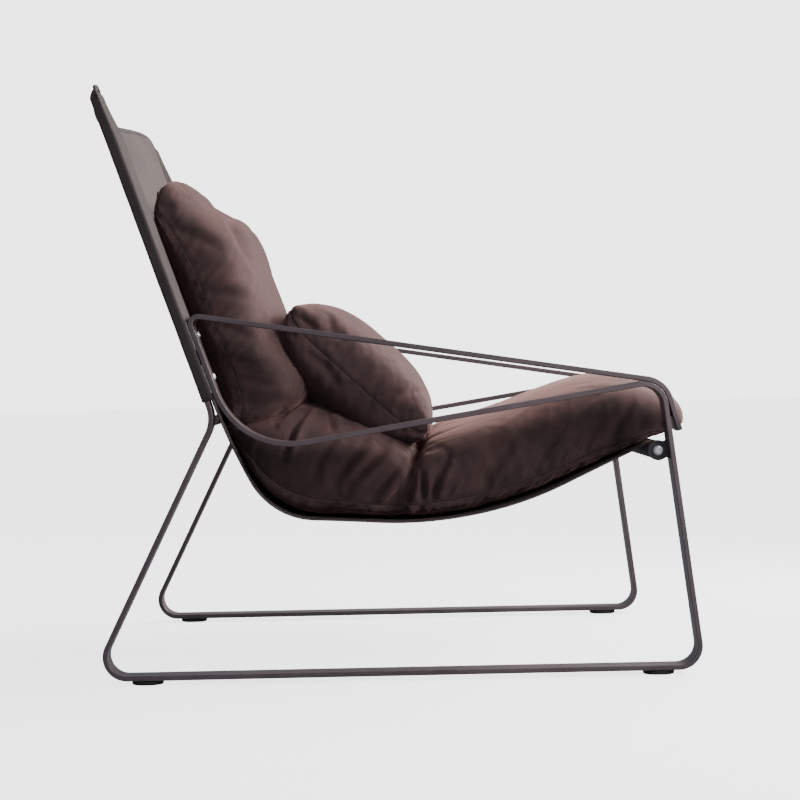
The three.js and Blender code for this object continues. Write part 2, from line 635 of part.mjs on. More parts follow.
function sling() {
  let leather = leatherSheet(slingStations, slingEdge, LEATHER);
  const weltTop = along(slingTop, backUp, WELT_HEIGHT);
  const weltFoot = along(slingTop, backUp, -LEATHER);
  const weltReach = FRAME_WIDTH / 2 + FIT + LEATHER;
  const climb = (at) => THREE.MathUtils.clamp((at.y - slingTop.y) / (weltTop.y - slingTop.y), 0, 1);
  const weltEdge = (at) => weltReach - WELT_HEIGHT * (1 - Math.sqrt(1 - climb(at) ** 2));
  const crown = (at, y) => WELT_CROWN * climb(at) * (1 - Math.abs(y / weltReach) ** 3);
  const weltStations = stationsOf([{ at: weltTop }, { at: weltFoot }], WELT_STEP);
  leather = leather.add(leatherSheet(weltStations, weltEdge, WELT_THICKNESS, crown));
  const sleeveFoot = atHeight(knee, backUp, SLEEVE_FOOT_HEIGHT);
  const sleeveTop = along(uprightTop, backUp, FIT + LEATHER);
  const sleeve = barOutline([{ at: sleeveFoot }, { at: sleeveTop }], BAR_THICKNESS + 2 * (FIT + LEATHER));
  const pocketFoot = along(sleeveFoot, backUp, -BAR_WIDTH);
  const pocketTop = along(uprightTop, backUp, FIT);
  const pocket = barOutline([{ at: pocketFoot }, { at: pocketTop }], BAR_THICKNESS + 2 * FIT);
  const hem = inSpace(crossbar, -seatSlingEdge);
  const hemOuter = hemRadius + LEATHER / 2;
  leather = leather.add(rod(hemOuter, hem, acrossChair, 2 * seatSlingEdge, CROSSBAR_FACETS));
  for (const sign of Object.values(SIDES)) {
    const y = sign * barMiddle;
    leather = leather.add(across(sleeve, BAR_WIDTH + 2 * (FIT + LEATHER), y, SLEEVE_EDGE));
  }
  for (const sign of Object.values(SIDES)) {
    const y = sign * barMiddle;
    leather = leather.subtract(across(pocket, BAR_WIDTH + 2 * FIT, y));
    for (const { at } of armScrewSeats) {
      const start = inSpace(at, y);
      const reach = BAR_THICKNESS + ARM_BACK_GAP;
      leather = leather.subtract(
        rod(SCREW_RADIUS + FIT, start, inSpace(backFront, 0).negate(), reach, HOLE_FACETS),
      );
    }
  }
  const boreStart = inSpace(crossbar, -FRAME_WIDTH / 2);
  const bore = rod(CROSSBAR_RADIUS + FIT, boreStart, acrossChair, FRAME_WIDTH, CROSSBAR_FACETS);
  return leather.subtract(bore);
}
add("leather_sling", sling(), SLING_LEATHER);

// Cushions: two side-view curves, front and back, that meet in the end seams and close in to the side seam

// The points of a polyline and the middles between them.
function halved(points) {
  return points.flatMap((p, i) => (i ? [points[i - 1].clone().lerp(p, 0.5), p] : [p]));
}

// Runs from 1 to -1 as an angle opens, slowest at the ends.
const spread = (angle) => Math.sign(Math.cos(angle)) * Math.abs(Math.cos(angle)) ** CUSHION_FULLNESS;

const throughPoints = (points, count) => new THREE.SplineCurve(points).getSpacedPoints(count);

// A polyline moved to its left.
function offsetCurve(points, distance) {
  return points.map((p, i) => {
    const before = points[Math.max(i - 1, 0)];
    const after = points[Math.min(i + 1, points.length - 1)];
    return along(p, leftOf(after.clone().sub(before).normalize()), distance);
  });
}

// A crowned cushion over a front and a back curve of equal count, as wide as its side seams.
// The sides are drawn in between the corners, and the back is pressed into the sling by a settle.
function cushion({ front, back, width, seam, steps, drawn, settle = () => 0, pinch = () => 0 }) {
  const angles = Array.from({ length: steps + 1 }, (_, j) => (Math.PI * j) / steps);
  const last = front.length - 1;
  const rings = front.map((crest, i) => {
    const middle = back[i].clone().lerp(crest, seam);
    const pulled = drawn * Math.sin((Math.PI * i) / last) + pinch(i / last);
    const reach = (width / 2) * (1 - pulled);
    const at = (curve, angle) => {
      const fullness = Math.sin(angle) ** CUSHION_BLUNTNESS;
      const y = -reach * spread(angle);
      const p = middle.clone().lerp(curve, fullness);
      return inSpace(along(p, backFront, curve === back[i] ? -settle(p, y) : 0), y);
    };
    return [...angles.map((a) => at(crest, a)), ...angles.toReversed().map((a) => at(back[i], a))];
  });
  return skinOver(rings);
}

// The same form, larger all round.
function grown(form, by) {
  const front = offsetCurve(form.front, by);
  const back = offsetCurve(form.back, -by);
  return { ...form, front, back, width: form.width + 2 * by };
}

// Where the sling's front face lies, along the back from the turn and off it towards the sitter.
const slingFace = LEATHER / 2 + GAP;
const offBack = (rise, off) => along(along(slingTurn, backUp, rise), backFront, slingFace + off);

function backCushion() {
  const height = BACK_CUSHION_TOP - BACK_CUSHION_BOTTOM;
  const at = ({ level, out }) => offBack(BACK_CUSHION_BOTTOM + level * height, out);
  const { crest, underside } = BACK_CUSHION_FRONT;
  const seams = [
    at({ level: 1, out: BACK_CUSHION_SEAMS.top }),
    at({ level: underside.level, out: BACK_CUSHION_SEAMS.bottom }),
  ];
  const count = BACK_CUSHION_RINGS;
  const front = throughPoints([seams[0], ...Object.values(BACK_CUSHION_FRONT).map(at), seams[1]], count);
  const inset = crest.level - 1;
  const behind = (i) => at({ level: THREE.MathUtils.lerp(1 - inset, inset, (i - 1) / (count - 2)), out: 0 });
  const back = front.map((p, i) => (i === 0 || i === count ? p : behind(i)));
  const settle = (p, y) => hollow(p, y) * BACK_CUSHION_SETTLE;
  const drawn = BACK_CUSHION_DRAW;
  const steps = CUSHION_FACETS.back;
  const width = 2 * (barInner - BACK_CUSHION_INSET);
  return { front, back, width, seam: CUSHION_SEAM, steps, drawn, settle };
}

function seatCushion() {
  const fromCrook = ({ forward, height }) => point(crook.x + forward, crook.y + height);
  const fromBar = ({ forward, height }) => point(crossbar.x + forward, crossbar.y + height);
  const lying = slingStations
    .filter(({ at }) => at.y < crook.y + SEAT_REAR_RISE)
    .map(({ at, normal }) => along(at, normal, slingFace));
  const frontEnd = fromBar(SEAT_FRONT_SEAM);
  const back = halved([...lying, fromBar(SEAT_FRONT_FOOT), frontEnd]);
  const count = back.length - 1;
  const channel = fromBar(SEAT_CHANNEL);
  const lip = (sign) =>
    point(channel.x + (sign * SEAT_CHANNEL.width) / 2, channel.y + SEAT_CHANNEL.depth);
  const front = throughPoints(
    [
      lying[0],
      fromCrook(SEAT_SHOULDER),
      fromCrook(SEAT_REAR_CROWN),
      fromCrook(SEAT_REAR_SLOPE),
      lip(-1),
      channel,
      lip(1),
      fromBar(SEAT_FRONT_SLOPE),
      fromBar(SEAT_FRONT_CROWN),
      fromBar(SEAT_BROW),
      fromBar(SEAT_NOSE),
      frontEnd,
    ],
    count,
  );
  const sewn = front.findIndex((p) => p.distanceTo(channel) < SEAT_CHANNEL.width / 2);
  const pinch = (share) => SEAT_CHANNEL_PINCH * Math.exp(-((share * count - sewn) ** 2) / 2);
  const drawn = SEAT_CUSHION_DRAW;
  const steps = CUSHION_FACETS.seat;
  const width = 2 * (barInner - SEAT_CUSHION_INSET);
  return { front, back, width, seam: CUSHION_SEAM, steps, drawn, pinch };
}

function lumbarPillow() {
  const count = PILLOW_RINGS;
  const down = leaning(90 + PILLOW_TILT);
  const out = leftOf(down);
  const middle = point(crook.x + PILLOW_MIDDLE.forward, crook.y + PILLOW_MIDDLE.height);
  const arch = (height) =>
    Array.from({ length: count + 1 }, (_, i) => {
      const angle = (Math.PI * i) / count;
      const p = along(middle, down, (-spread(angle) * PILLOW_HEIGHT) / 2);
      return along(p, out, height * Math.sin(angle) ** PILLOW_BLUNTNESS);
    });
  const seam = PILLOW_BELLY / (PILLOW_BELLY + PILLOW_CROWN);
  const [front, back] = [PILLOW_CROWN, -PILLOW_BELLY].map(arch);
  const steps = CUSHION_FACETS.pillow;
  return { front, back, width: PILLOW_LENGTH, seam, steps, drawn: PILLOW_DRAW };
}

// The back cushion stands on the seat cushion and the pillow leans on both, each pressed to the shape below.
const seatForm = seatCushion();
const backForm = backCushion();
const seatClear = cushion(grown(seatForm, 2 * GAP));
const backClear = cushion(grown(backForm, 2 * GAP));
add("seat_cushion", cushion(seatForm), CUSHION_LEATHER);
const slingClear = leatherSheet(slingStations, slingEdge, LEATHER + 2 * GAP);
add("back_cushion", cushion(backForm).subtract(seatClear).subtract(slingClear), CUSHION_LEATHER);
add("lumbar_pillow", cushion(lumbarPillow()).subtract(seatClear).subtract(backClear), CUSHION_LEATHER);

const extent = new THREE.Box3().setFromObject(chair);
chair.position.x = -(extent.min.x + extent.max.x) / 2;

export default chair;
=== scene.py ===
"""Looks of a leather sling lounge chair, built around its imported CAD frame.

Two bent flat-bar side frames carry a leather sling. A seat cushion, a back cushion and a loose
lumbar pillow lie in it. Lengths are in metres; the side view is the plane of X (forwards) and Z (up).
"""

from __future__ import annotations

import json
import logging
import math
from dataclasses import dataclass, field
from enum import Enum
from typing import Iterable, Iterator, Sequence

import bmesh
import bpy
import numpy as np
from mathutils import Matrix, Vector
from mathutils import noise as perlin
from mathutils.bvhtree import BVHTree

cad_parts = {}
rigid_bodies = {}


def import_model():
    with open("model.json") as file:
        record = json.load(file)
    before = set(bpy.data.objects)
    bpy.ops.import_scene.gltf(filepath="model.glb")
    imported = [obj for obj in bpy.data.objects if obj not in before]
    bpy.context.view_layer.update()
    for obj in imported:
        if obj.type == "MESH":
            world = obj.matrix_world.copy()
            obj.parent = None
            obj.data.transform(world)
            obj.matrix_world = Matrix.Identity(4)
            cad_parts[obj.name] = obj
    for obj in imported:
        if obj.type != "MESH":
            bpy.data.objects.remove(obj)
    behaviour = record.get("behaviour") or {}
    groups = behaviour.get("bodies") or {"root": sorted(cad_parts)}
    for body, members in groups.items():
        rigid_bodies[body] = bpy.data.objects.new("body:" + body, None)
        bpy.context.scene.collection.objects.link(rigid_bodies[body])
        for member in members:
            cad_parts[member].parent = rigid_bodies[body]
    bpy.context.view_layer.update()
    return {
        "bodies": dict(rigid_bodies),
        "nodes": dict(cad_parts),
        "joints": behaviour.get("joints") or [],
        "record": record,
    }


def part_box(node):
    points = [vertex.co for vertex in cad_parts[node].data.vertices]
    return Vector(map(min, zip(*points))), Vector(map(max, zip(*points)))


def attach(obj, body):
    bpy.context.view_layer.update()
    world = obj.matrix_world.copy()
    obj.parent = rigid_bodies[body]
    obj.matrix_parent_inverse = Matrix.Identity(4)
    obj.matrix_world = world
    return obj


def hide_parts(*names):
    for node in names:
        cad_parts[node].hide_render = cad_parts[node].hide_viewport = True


log = logging.getLogger("chair")
Array = np.ndarray
Skin = tuple[np.ndarray, list[list[int]]]  # Vertices and faces.
MM = 0.001
PILLOW_LIFT = (0.642788, 0.766044)  # Side-view direction in which the pillow's joint lifts it.
SEAT_MIDDLE = (0.0, 0.0, 0.45)  # Where the soft lights are aimed.


class Body(str, Enum):
    """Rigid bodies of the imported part."""

    CHAIR = "chair"
    PILLOW = "pillow"


class Slot(str, Enum):
    """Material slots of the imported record."""

    STEEL = "frame_steel"
    SLING = "sling_leather"
    CUSHION = "cushion_leather"


# Side-view geometry


def leaning(degrees: float) -> Array:
    """Unit direction in the side view.

    Args:
        degrees: Lean from upright, positive towards the front.

    Returns:
        The direction as (x, z).
    """
    return np.array([math.sin(math.radians(degrees)), math.cos(math.radians(degrees))])


def left_of(direction: Array) -> Array:
    """The direction turned a quarter turn to its left."""
    return np.array([-direction[1], direction[0]])


def unit(vector: Array) -> Array:
    """The vector at length 1."""
    return vector / np.linalg.norm(vector)


def cross(a: Array, b: Array) -> float:
    """The cross product of two side-view vectors."""
    return float(a[0] * b[1] - a[1] * b[0])


def at_height(start: Array, direction: Array, height: float) -> Array:
    """Where a line reaches a height."""
    return start + direction * ((height - start[1]) / direction[1])


def meeting(p: Array, d: Array, q: Array, e: Array) -> Array:
    """Where the line through p along d meets the line through q along e."""
    return p + d * (cross(q - p, e) / cross(d, e))


def turned(vector: Array, angle: float) -> Array:
    """A side-view vector turned by an angle in radians."""
    c, s = math.cos(angle), math.sin(angle)
    return np.array([c * vector[0] - s * vector[1], s * vector[0] + c * vector[1]])


def upper_tangent(p: Array, centre: Array, radius: float) -> Array:
    """Unit direction from p to where its upper tangent touches a circle."""
    sight = centre - p
    return turned(unit(sight), math.asin(radius / np.linalg.norm(sight)))


def in_space(place: Array, y: float = 0.0) -> Array:
    """A side-view place or direction as (x, y, z)."""
    return np.array([place[0], y, place[1]])


def along(points: Array) -> Array:
    """Distance of each point along a line of points."""
    return np.concatenate([[0.0], np.cumsum(np.linalg.norm(np.diff(points, axis=0), axis=1))])


@dataclass(frozen=True)
class Corner:
    """A corner of a bent line, with the radius of its bend."""

    at: Array
    radius: float = 0.0


@dataclass
class BentLine:
    """A line through corners with round bends, sampled by length.

    Attributes:
        corners: The corners from end to end.
        step: Longest distance between samples on the straight parts.
        turn_step: Largest turn between samples, in degrees.
    """

    corners: Sequence[Corner]
    step: float
    turn_step: float
    points: Array = field(init=False)
    tangents: Array = field(init=False)

    def __post_init__(self) -> None:
        """Samples the straight parts and the bends in turn."""
        points: list[Array] = []
        tangents: list[Array] = []

        def straight(start: Array, end: Array, heading: Array) -> None:
            """Adds samples of a straight part, without its end.

            Args:
                start: Its start.
                end: Its end.
                heading: Its direction.
            """
            count = max(1, math.ceil(np.linalg.norm(end - start) / self.step))
            for i in range(count):
                points.append(start + (end - start) * i / count)
                tangents.append(heading)

        here = self.corners[0].at
        for before, corner, after in zip(self.corners, self.corners[1:], self.corners[2:]):
            into, out = unit(corner.at - before.at), unit(after.at - corner.at)
            turn = math.atan2(cross(into, out), float(into @ out))
            start = corner.at - into * corner.radius * math.tan(abs(turn) / 2)
            centre = start + left_of(into) * math.copysign(corner.radius, turn)
            straight(here, start, into)
            by_turn = abs(turn) / math.radians(self.turn_step)
            count = max(1, math.ceil(by_turn), math.ceil(abs(turn) * corner.radius / self.step))
            for i in range(count):
                angle = turn * i / count
                points.append(centre + turned(start - centre, angle))
                tangents.append(turned(into, angle))
            here = centre + turned(start - centre, turn)
        last = unit(self.corners[-1].at - self.corners[-2].at)
        straight(here, self.corners[-1].at, last)
        points.append(self.corners[-1].at)
        tangents.append(last)
        self.points, self.tangents = np.array(points), np.array(tangents)

    @property
    def normals(self) -> Array:
        """Unit normals to the left of the line."""
        return np.stack([-self.tangents[:, 1], self.tangents[:, 0]], axis=1)

    @property
    def lengths(self) -> Array:
        """Distance of each sample along the line."""
        return along(self.points)


@dataclass
class Plan:
    """Dimensions of the chair that its pieces share, repeated from the CAD part.

    Heights are above the floor and leans are from upright, in degrees, positive towards the front.

    Attributes:
        shift: Place of the middle of the runners along the chair.
        fit: Play between the leather and the bars in it.
        gap: Space kept between pieces that touch.
        back_hollow: How far the sling lies behind the uprights at the top.
        welt_crown: How much higher the top edge is in the middle.
        rise_off: Distance between the upright and the rise of the arm.
        arm_off: Distance between the rail's bend and the arm over it.
        lug_off: Distance of the crossbar's middle behind the front leg.
        crook_off: The rear bend of the sling, from the turn below its back.
        sag_off: The front bend of the sling, from the same turn.
        edge_in: Distance of the free edge of the sling from the bars.
    """

    shift: float
    frame_width: float = 0.740
    runner_length: float = 0.942
    runner_height: float = 0.011
    rear_lean: float = 26.2
    front_lean: float = 7.2
    back_lean: float = -19.15
    rail_slope: float = 8.8
    drop_lean: float = 16
    knee_height: float = 0.413
    upright_height: float = 0.917
    rail_height: float = 0.4626
    arm_height: float = 0.579
    drop_height: float = 0.384
    crossbar_height: float = 0.355
    sling_turn_height: float = 0.3784
    floor_radius: float = 0.034
    knee_radius: float = 0.055
    rail_radius: float = 0.035
    rail_rear_radius: float = 0.125
    arm_rear_radius: float = 0.012
    rise_off: float = 0.0095
    arm_off: float = 0.0005
    lug_off: float = 0.016
    crook_off: tuple[float, float] = (0.0659, -0.1232)
    sag_off: tuple[float, float] = (0.3958, -0.1428)
    sling_radii: tuple[float, float, float] = (0.860, 0.122, 0.620)
    edge_in: float = 0.008
    bar_width: float = 0.040
    bar_thickness: float = 0.008
    leather: float = 0.0022
    fit: float = 0.0004
    gap: float = 0.0003
    sleeve_foot_height: float = 0.443
    back_hollow: float = 0.042
    welt_height: float = 0.017
    welt_crown: float = 0.018
    welt_thickness: float = 0.0046
    crossbar_radius: float = 0.012
    rear_crossbar_radius: float = 0.008

    def __post_init__(self) -> None:
        """Lays out the side frame's line, the crossbars and the sling's line."""
        half = self.bar_thickness / 2
        bend = self.floor_radius
        bend_middle = self.runner_length / 2 - bend - half

        def floor_corner(lean: float) -> float:
            """Distance of a floor corner from the middle of the runner."""
            return bend_middle + bend * math.tan(math.radians(90 + lean) / 2)

        rear_floor = np.array([self.shift - floor_corner(self.rear_lean), self.runner_height])
        front_floor = np.array([self.shift + floor_corner(self.front_lean), self.runner_height])
        self.back_up = leaning(self.back_lean)
        self.back_front = -left_of(self.back_up)
        leg_up = leaning(-self.front_lean)
        leg_front = -left_of(leg_up)
        self.knee = at_height(rear_floor, leaning(self.rear_lean), self.knee_height)
        self.upright_top = at_height(self.knee, self.back_up, self.upright_height)
        rail_front = at_height(front_floor, leg_up, self.rail_height)
        rail_rearward = leaning(-90 - self.rail_slope)
        rise_foot = self.knee + self.back_front * (self.bar_thickness + self.rise_off)
        rail_rear = meeting(rail_front, rail_rearward, rise_foot, self.back_up)
        arm_rear = at_height(rise_foot, self.back_up, self.arm_height)
        turn = math.atan2(cross(leg_up, rail_rearward), float(leg_up @ rail_rearward))
        bend_start = rail_front - leg_up * self.rail_radius * math.tan(abs(turn) / 2)
        centre = bend_start + left_of(leg_up) * math.copysign(self.rail_radius, turn)
        arm_radius = self.rail_radius + self.bar_thickness + self.arm_off
        arm_forward = upper_tangent(arm_rear, centre, arm_radius)
        drop_down = leaning(180 - self.drop_lean)
        drop_top = centre + left_of(drop_down) * arm_radius
        arm_front = meeting(arm_rear, arm_forward, drop_top, drop_down)
        self.frame_corners = [
            Corner(self.upright_top),
            Corner(self.knee, self.knee_radius),
            Corner(rear_floor, bend),
            Corner(front_floor, bend),
            Corner(rail_front, self.rail_radius),
            Corner(rail_rear, self.rail_rear_radius),
            Corner(arm_rear, self.arm_rear_radius),
            Corner(arm_front, arm_radius),
            Corner(at_height(drop_top, drop_down, self.drop_height)),
        ]
        self.bar_middle = (self.frame_width - self.bar_width) / 2
        self.bar_inner = self.frame_width / 2 - self.bar_width
        on_leg = at_height(front_floor, leg_up, self.crossbar_height)
        self.crossbar = on_leg - leg_front * (half + self.gap + self.lug_off)
        self.sling_offset = half + self.fit + self.leather / 2
        behind = self.sling_offset - self.leather / 2 - self.gap - self.rear_crossbar_radius
        self.rear_crossbar = self.knee + self.back_front * behind
        back_line = self.knee + self.back_front * self.sling_offset
        above = self.fit + self.leather
        self.sling_top = self.upright_top + self.back_front * self.sling_offset + self.back_up * above
        self.sling_turn = at_height(back_line, self.back_up, self.sling_turn_height)
        self.crook = self.sling_turn + np.array(self.crook_off)
        sag = self.sling_turn + np.array(self.sag_off)
        self.hem_radius = self.crossbar_radius + self.fit + self.leather / 2
        rise = upper_tangent(sag, self.crossbar, self.hem_radius)
        self.sling_end = self.crossbar + left_of(rise) * self.hem_radius
        turn_radius, crook_radius, sag_radius = self.sling_radii
        self.sling_corners = [
            Corner(self.sling_top),
            Corner(self.sling_turn, turn_radius),
            Corner(self.crook, crook_radius),
            Corner(sag, sag_radius),
            Corner(self.sling_end),
        ]
        self.seat_edge = self.bar_inner - self.edge_in
        self.half_top = self.frame_width / 2 + self.fit + self.leather

    def hollow(self, height: Array, y: Array) -> Array:
        """How far the sling lies behind the line of the uprights.

        Args:
            height: Height above the floor.
            y: Place across the chair.

        Returns:
            The distance, most in the middle of the top edge.
        """
        climb = (height - self.sleeve_foot_height) / (self.upright_top[1] - self.sleeve_foot_height)
        share = np.minimum(1.0, np.abs(y) / self.bar_inner)
        return self.back_hollow * np.clip(climb, 0.0, None) * (1 - share**2) ** 2


# Finishes


def linear(hex_colour: str) -> tuple[float, float, float, float]:
    """Turns an sRGB colour into a linear one.

    Args:
        hex_colour: The colour as a hex string such as "4a4346".

    Returns:
        Red, green, blue and an alpha of 1.
    """
    values = [int(hex_colour[i : i + 2], 16) / 255 for i in (0, 2, 4)]
    r, g, b = (v / 12.92 if v <= 0.04045 else ((v + 0.055) / 1.055) ** 2.4 for v in values)
    return (r, g, b, 1.0)


class Grain(Enum):
    """How a surface is grained."""

    FINE = "fine"
    PEBBLED = "pebbled"
    TURNED = "turned"


@dataclass(frozen=True)
class Finish:
    """A procedural surface.

    Attributes:
        name: Material name.
        dark: Darkest colour, as sRGB hex.
        light: Lightest colour, as sRGB hex.
        cloud: Size of the colour clouds, in millimetres.
        grain: Size of the surface grain, in millimetres.
        grain_depth: Height of the grain, in millimetres.
        roughness: Lowest and highest roughness.
        kind: How it is grained.
        metallic: Share of metal.
        ior: Index of refraction.
        sheen: Weight of the sheen of a nap.
        sheen_colour: Colour of the sheen, as sRGB hex.
        creases: Depth of fine creases, in millimetres.
        crease_size: Distance between them, in millimetres.
    """

    name: str
    dark: str
    light: str
    cloud: float
    grain: float
    grain_depth: float
    roughness: tuple[float, float]
    kind: Grain = Grain.FINE
    metallic: float = 0.0
    ior: float = 1.5
    sheen: float = 0.0
    sheen_colour: str = "ffffff"
    creases: float = 0.0
    crease_size: float = 7.0


# Polyester powder coat baked on flat steel bar: an even satin film with a faint orange peel,
# which spreads the light into long soft highlights. The peel is drawn at 1.5 mm to show.
POWDER_COAT = Finish(
    "powder_coated_steel", "5d5052", "6f6163", 60, 1.5, 0.04, (0.34, 0.44), metallic=0.35
)
# Black enamel baked on a steel casting: thick, even and dark, with a soft shine on its rims. Its
# fine orange peel is drawn at 1.5 mm to show.
ENAMEL = Finish(
    "black_enamelled_steel", "272223", "332d2e", 40, 1.5, 0.03, (0.50, 0.60), ior=1.52
)
# Stainless steel, turned and satin-polished: bright, with a broad soft highlight and fine rings from
# the lathe, which are drawn 0.5 mm apart to show.
BRIGHT_STEEL = Finish(
    "satin_stainless_steel", "e2e1e2", "f0efef", 4, 0.5, 0.01, (0.46, 0.56), kind=Grain.TURNED, metallic=1.0
)
# Vulcanised rubber, moulded: matt and nearly black, with a dusty bloom. The mould's texture is
# drawn at 1 mm to show.
RUBBER = Finish("moulded_rubber", "121112", "1e1c1d", 12, 1.0, 0.05, (0.74, 0.88), ior=1.52)
# Vegetable-tanned saddle leather, pigmented and rolled: firm, satin and close-grained, with small
# pebbles and fine creases. Pebbles of 0.8 mm are drawn at 2 mm to show.
SADDLE = Finish(
    "saddle_leather",
    "443938",
    "544846",
    90,
    2.0,
    0.08,
    (0.54, 0.66),
    kind=Grain.PEBBLED,
    ior=1.4,
    creases=0.12,
    crease_size=14,
)
# The same leather turned over at the top edge and burnished: dark and dense, its pebbles pressed
# nearly flat, with a dull shine.
SADDLE_EDGE = Finish(
    "burnished_leather_edge",
    "262122",
    "332d2d",
    30,
    1.6,
    0.03,
    (0.60, 0.70),
    kind=Grain.PEBBLED,
)
# The sheet's own leather on the sleeves, stretched round the bars, with painted shade: darker than
# the sheet for the shade that falls on the sleeves, and duller, with the same pebbles.
SHADED_SLEEVE = Finish(
    "saddle_leather_painted_shade",
    "352d2c",
    "423837",
    90,
    2.0,
    0.06,
    (0.68, 0.80),
    kind=Grain.PEBBLED,
    ior=1.4,
)
# Nubuck, leather sanded on its grain side: a short dense nap, matt, with cloudy strokes where the
# nap lies differently, fine creases where it has been sat on, and a dusty sheen at its folds. The
# nap of 0.2 mm is drawn at 0.9 mm to show.
NUBUCK = Finish(
    "brushed_nubuck",
    "352423",
    "4f3635",
    48,
    0.9,
    0.10,
    (0.84, 0.95),
    sheen=0.5,
    sheen_colour="cb9d92",
    creases=0.32,
    crease_size=9,
)
# The cushions' nubuck on the sewn seams, with painted shade: darker, for the shade in the groove
# where the seam lies. The nap is drawn as coarse as the cushions'.
SHADED_SEAM = Finish("nubuck_seam_painted_shade", "221819", "2f2223", 12, 0.9, 0.10, (0.88, 0.96))
# Waxed polyester thread, twisted: a dull shine on each stitch. Its strands are drawn at 0.5 mm to show.
THREAD = Finish("waxed_thread", "4a4242", "5c5352", 3, 0.5, 0.05, (0.5, 0.6))


@dataclass
class Shader:
    """A material's node tree, with one helper that adds nodes."""

    material: bpy.types.Material

    def add(
        self, kind: str, inputs: dict[str, object] | None = None, **settings: object
    ) -> bpy.types.Node:
        """Adds a node.

        Args:
            kind: Node type.
            inputs: Values or output sockets for its inputs, by name.
            **settings: Properties of the node.

        Returns:
            The node.
        """
        tree = self.material.node_tree
        node = tree.nodes.new(kind)
        for name, value in settings.items():
            setattr(node, name, value)
        for name, value in (inputs or {}).items():
            if isinstance(value, bpy.types.NodeSocket):
                tree.links.new(value, node.inputs[name])
            else:
                node.inputs[name].default_value = value
        return node


class Finishes:
    """Makes each material once."""

    def __init__(self) -> None:
        """Starts with no material made."""
        self._made: dict[str, bpy.types.Material] = {}

    def of(self, finish: Finish) -> bpy.types.Material:
        """Finds or makes the material of a finish.

        Args:
            finish: The finish.

        Returns:
            The material.
        """
        if finish.name not in self._made:
            self._made[finish.name] = self._make(finish)
        return self._made[finish.name]

    @staticmethod
    def _make(finish: Finish) -> bpy.types.Material:
        """Builds a material's nodes: clouds of colour and roughness, grain and creases.

        Args:
            finish: The finish.

        Returns:
            The material.
        """
        material = bpy.data.materials.new(finish.name)
        material.use_nodes = True
        material.node_tree.nodes.clear()
        shader = Shader(material)
        place = shader.add("ShaderNodeTexCoord").outputs["Object"]
        cloud = shader.add(
            "ShaderNodeTexNoise",
            {"Vector": place, "Scale": 1 / (finish.cloud * MM), "Detail": 5.0, "Roughness": 0.62},
        ).outputs["Fac"]
        spread = shader.add("ShaderNodeMapRange", {"Value": cloud, "From Min": 0.3, "From Max": 0.7})
        ramp = shader.add("ShaderNodeValToRGB", {"Fac": spread.outputs["Result"]})
        ramp.color_ramp.elements[0].color = linear(finish.dark)
        ramp.color_ramp.elements[1].color = linear(finish.light)
        colour = ramp.outputs["Color"]
        rough = shader.add(
            "ShaderNodeMapRange",
            {"Value": cloud, "To Min": finish.roughness[0], "To Max": finish.roughness[1]},
        ).outputs["Result"]
        scale = 1 / (finish.grain * MM)
        if finish.kind is Grain.PEBBLED:
            pebbles = {"Vector": place, "Scale": scale}
            grain = shader.add("ShaderNodeTexVoronoi", pebbles, feature="SMOOTH_F1").outputs["Distance"]
        elif finish.kind is Grain.TURNED:
            rings = shader.add("ShaderNodeTexWave", {"Vector": place, "Scale": scale, "Distortion": 1.0})
            grain = rings.outputs["Fac"]
        else:
            nap = shader.add("ShaderNodeTexNoise", {"Vector": place, "Scale": scale, "Detail": 3.0})
            grain = nap.outputs["Fac"]
        normal = shader.add(
            "ShaderNodeBump", {"Height": grain, "Strength": 1.0, "Distance": finish.grain_depth * MM}
        ).outputs["Normal"]
        if finish.creases:
            folds = shader.add(
                "ShaderNodeTexNoise",
                {"Vector": place, "Scale": 1 / (finish.crease_size * MM), "Detail": 3.0, "Distortion": 1.2},
                noise_type="RIDGED_MULTIFRACTAL",
            ).outputs["Fac"]
            normal = shader.add(
                "ShaderNodeBump",
                {"Height": folds, "Strength": 0.7, "Distance": finish.creases * MM, "Normal": normal},
            ).outputs["Normal"]
        surface = shader.add(
            "ShaderNodeBsdfPrincipled",
            {"Base Color": colour, "Metallic": finish.metallic, "Roughness": rough, "Normal": normal},
        )
        if not finish.metallic:
            surface.inputs["IOR"].default_value = finish.ior
        if finish.sheen:
            surface.inputs["Sheen Weight"].default_value = finish.sheen
            surface.inputs["Sheen Roughness"].default_value = 0.45
            surface.inputs["Sheen Tint"].default_value = linear(finish.sheen_colour)
        shader.add("ShaderNodeOutputMaterial", {"Surface": surface.outputs["BSDF"]})
        return material


# Meshes


@dataclass
class Workshop:
    """Turns vertices and faces into pieces that ride on a body, and keeps a list of them."""

    finishes: Finishes
    made: list[bpy.types.Object] = field(default_factory=list)

    def piece(
        self,
        name: str,
        vertices: Array,
        faces: Iterable[Sequence[int]],
        finish: Finish,
        slot: Slot,
        body: Body = Body.CHAIR,
        replaces: Sequence[str] = (),
    ) -> bpy.types.Object:
        """Makes a smooth-shaded piece.

        Args:
            name: Name of the piece.
            vertices: Points, one row each.
            faces: Indices of each face.
            finish: Surface of the piece.
            slot: Material slot of the record; not used.
            body: Body that carries it.
            replaces: CAD nodes that it stands for.

        Returns:
            The new object.
        """
        mesh = bpy.data.meshes.new(name)
        mesh.from_pydata([tuple(v) for v in vertices], [], [tuple(f) for f in faces])
        mesh.validate()
        mesh.polygons.foreach_set("use_smooth", [True] * len(mesh.polygons))
        mesh.materials.append(self.finishes.of(finish))
        piece = bpy.data.objects.new(name, mesh)
        bpy.context.scene.collection.objects.link(piece)
        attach(piece, body.value)
        if replaces:
            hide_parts(*replaces)
        self.made.append(piece)
        return piece


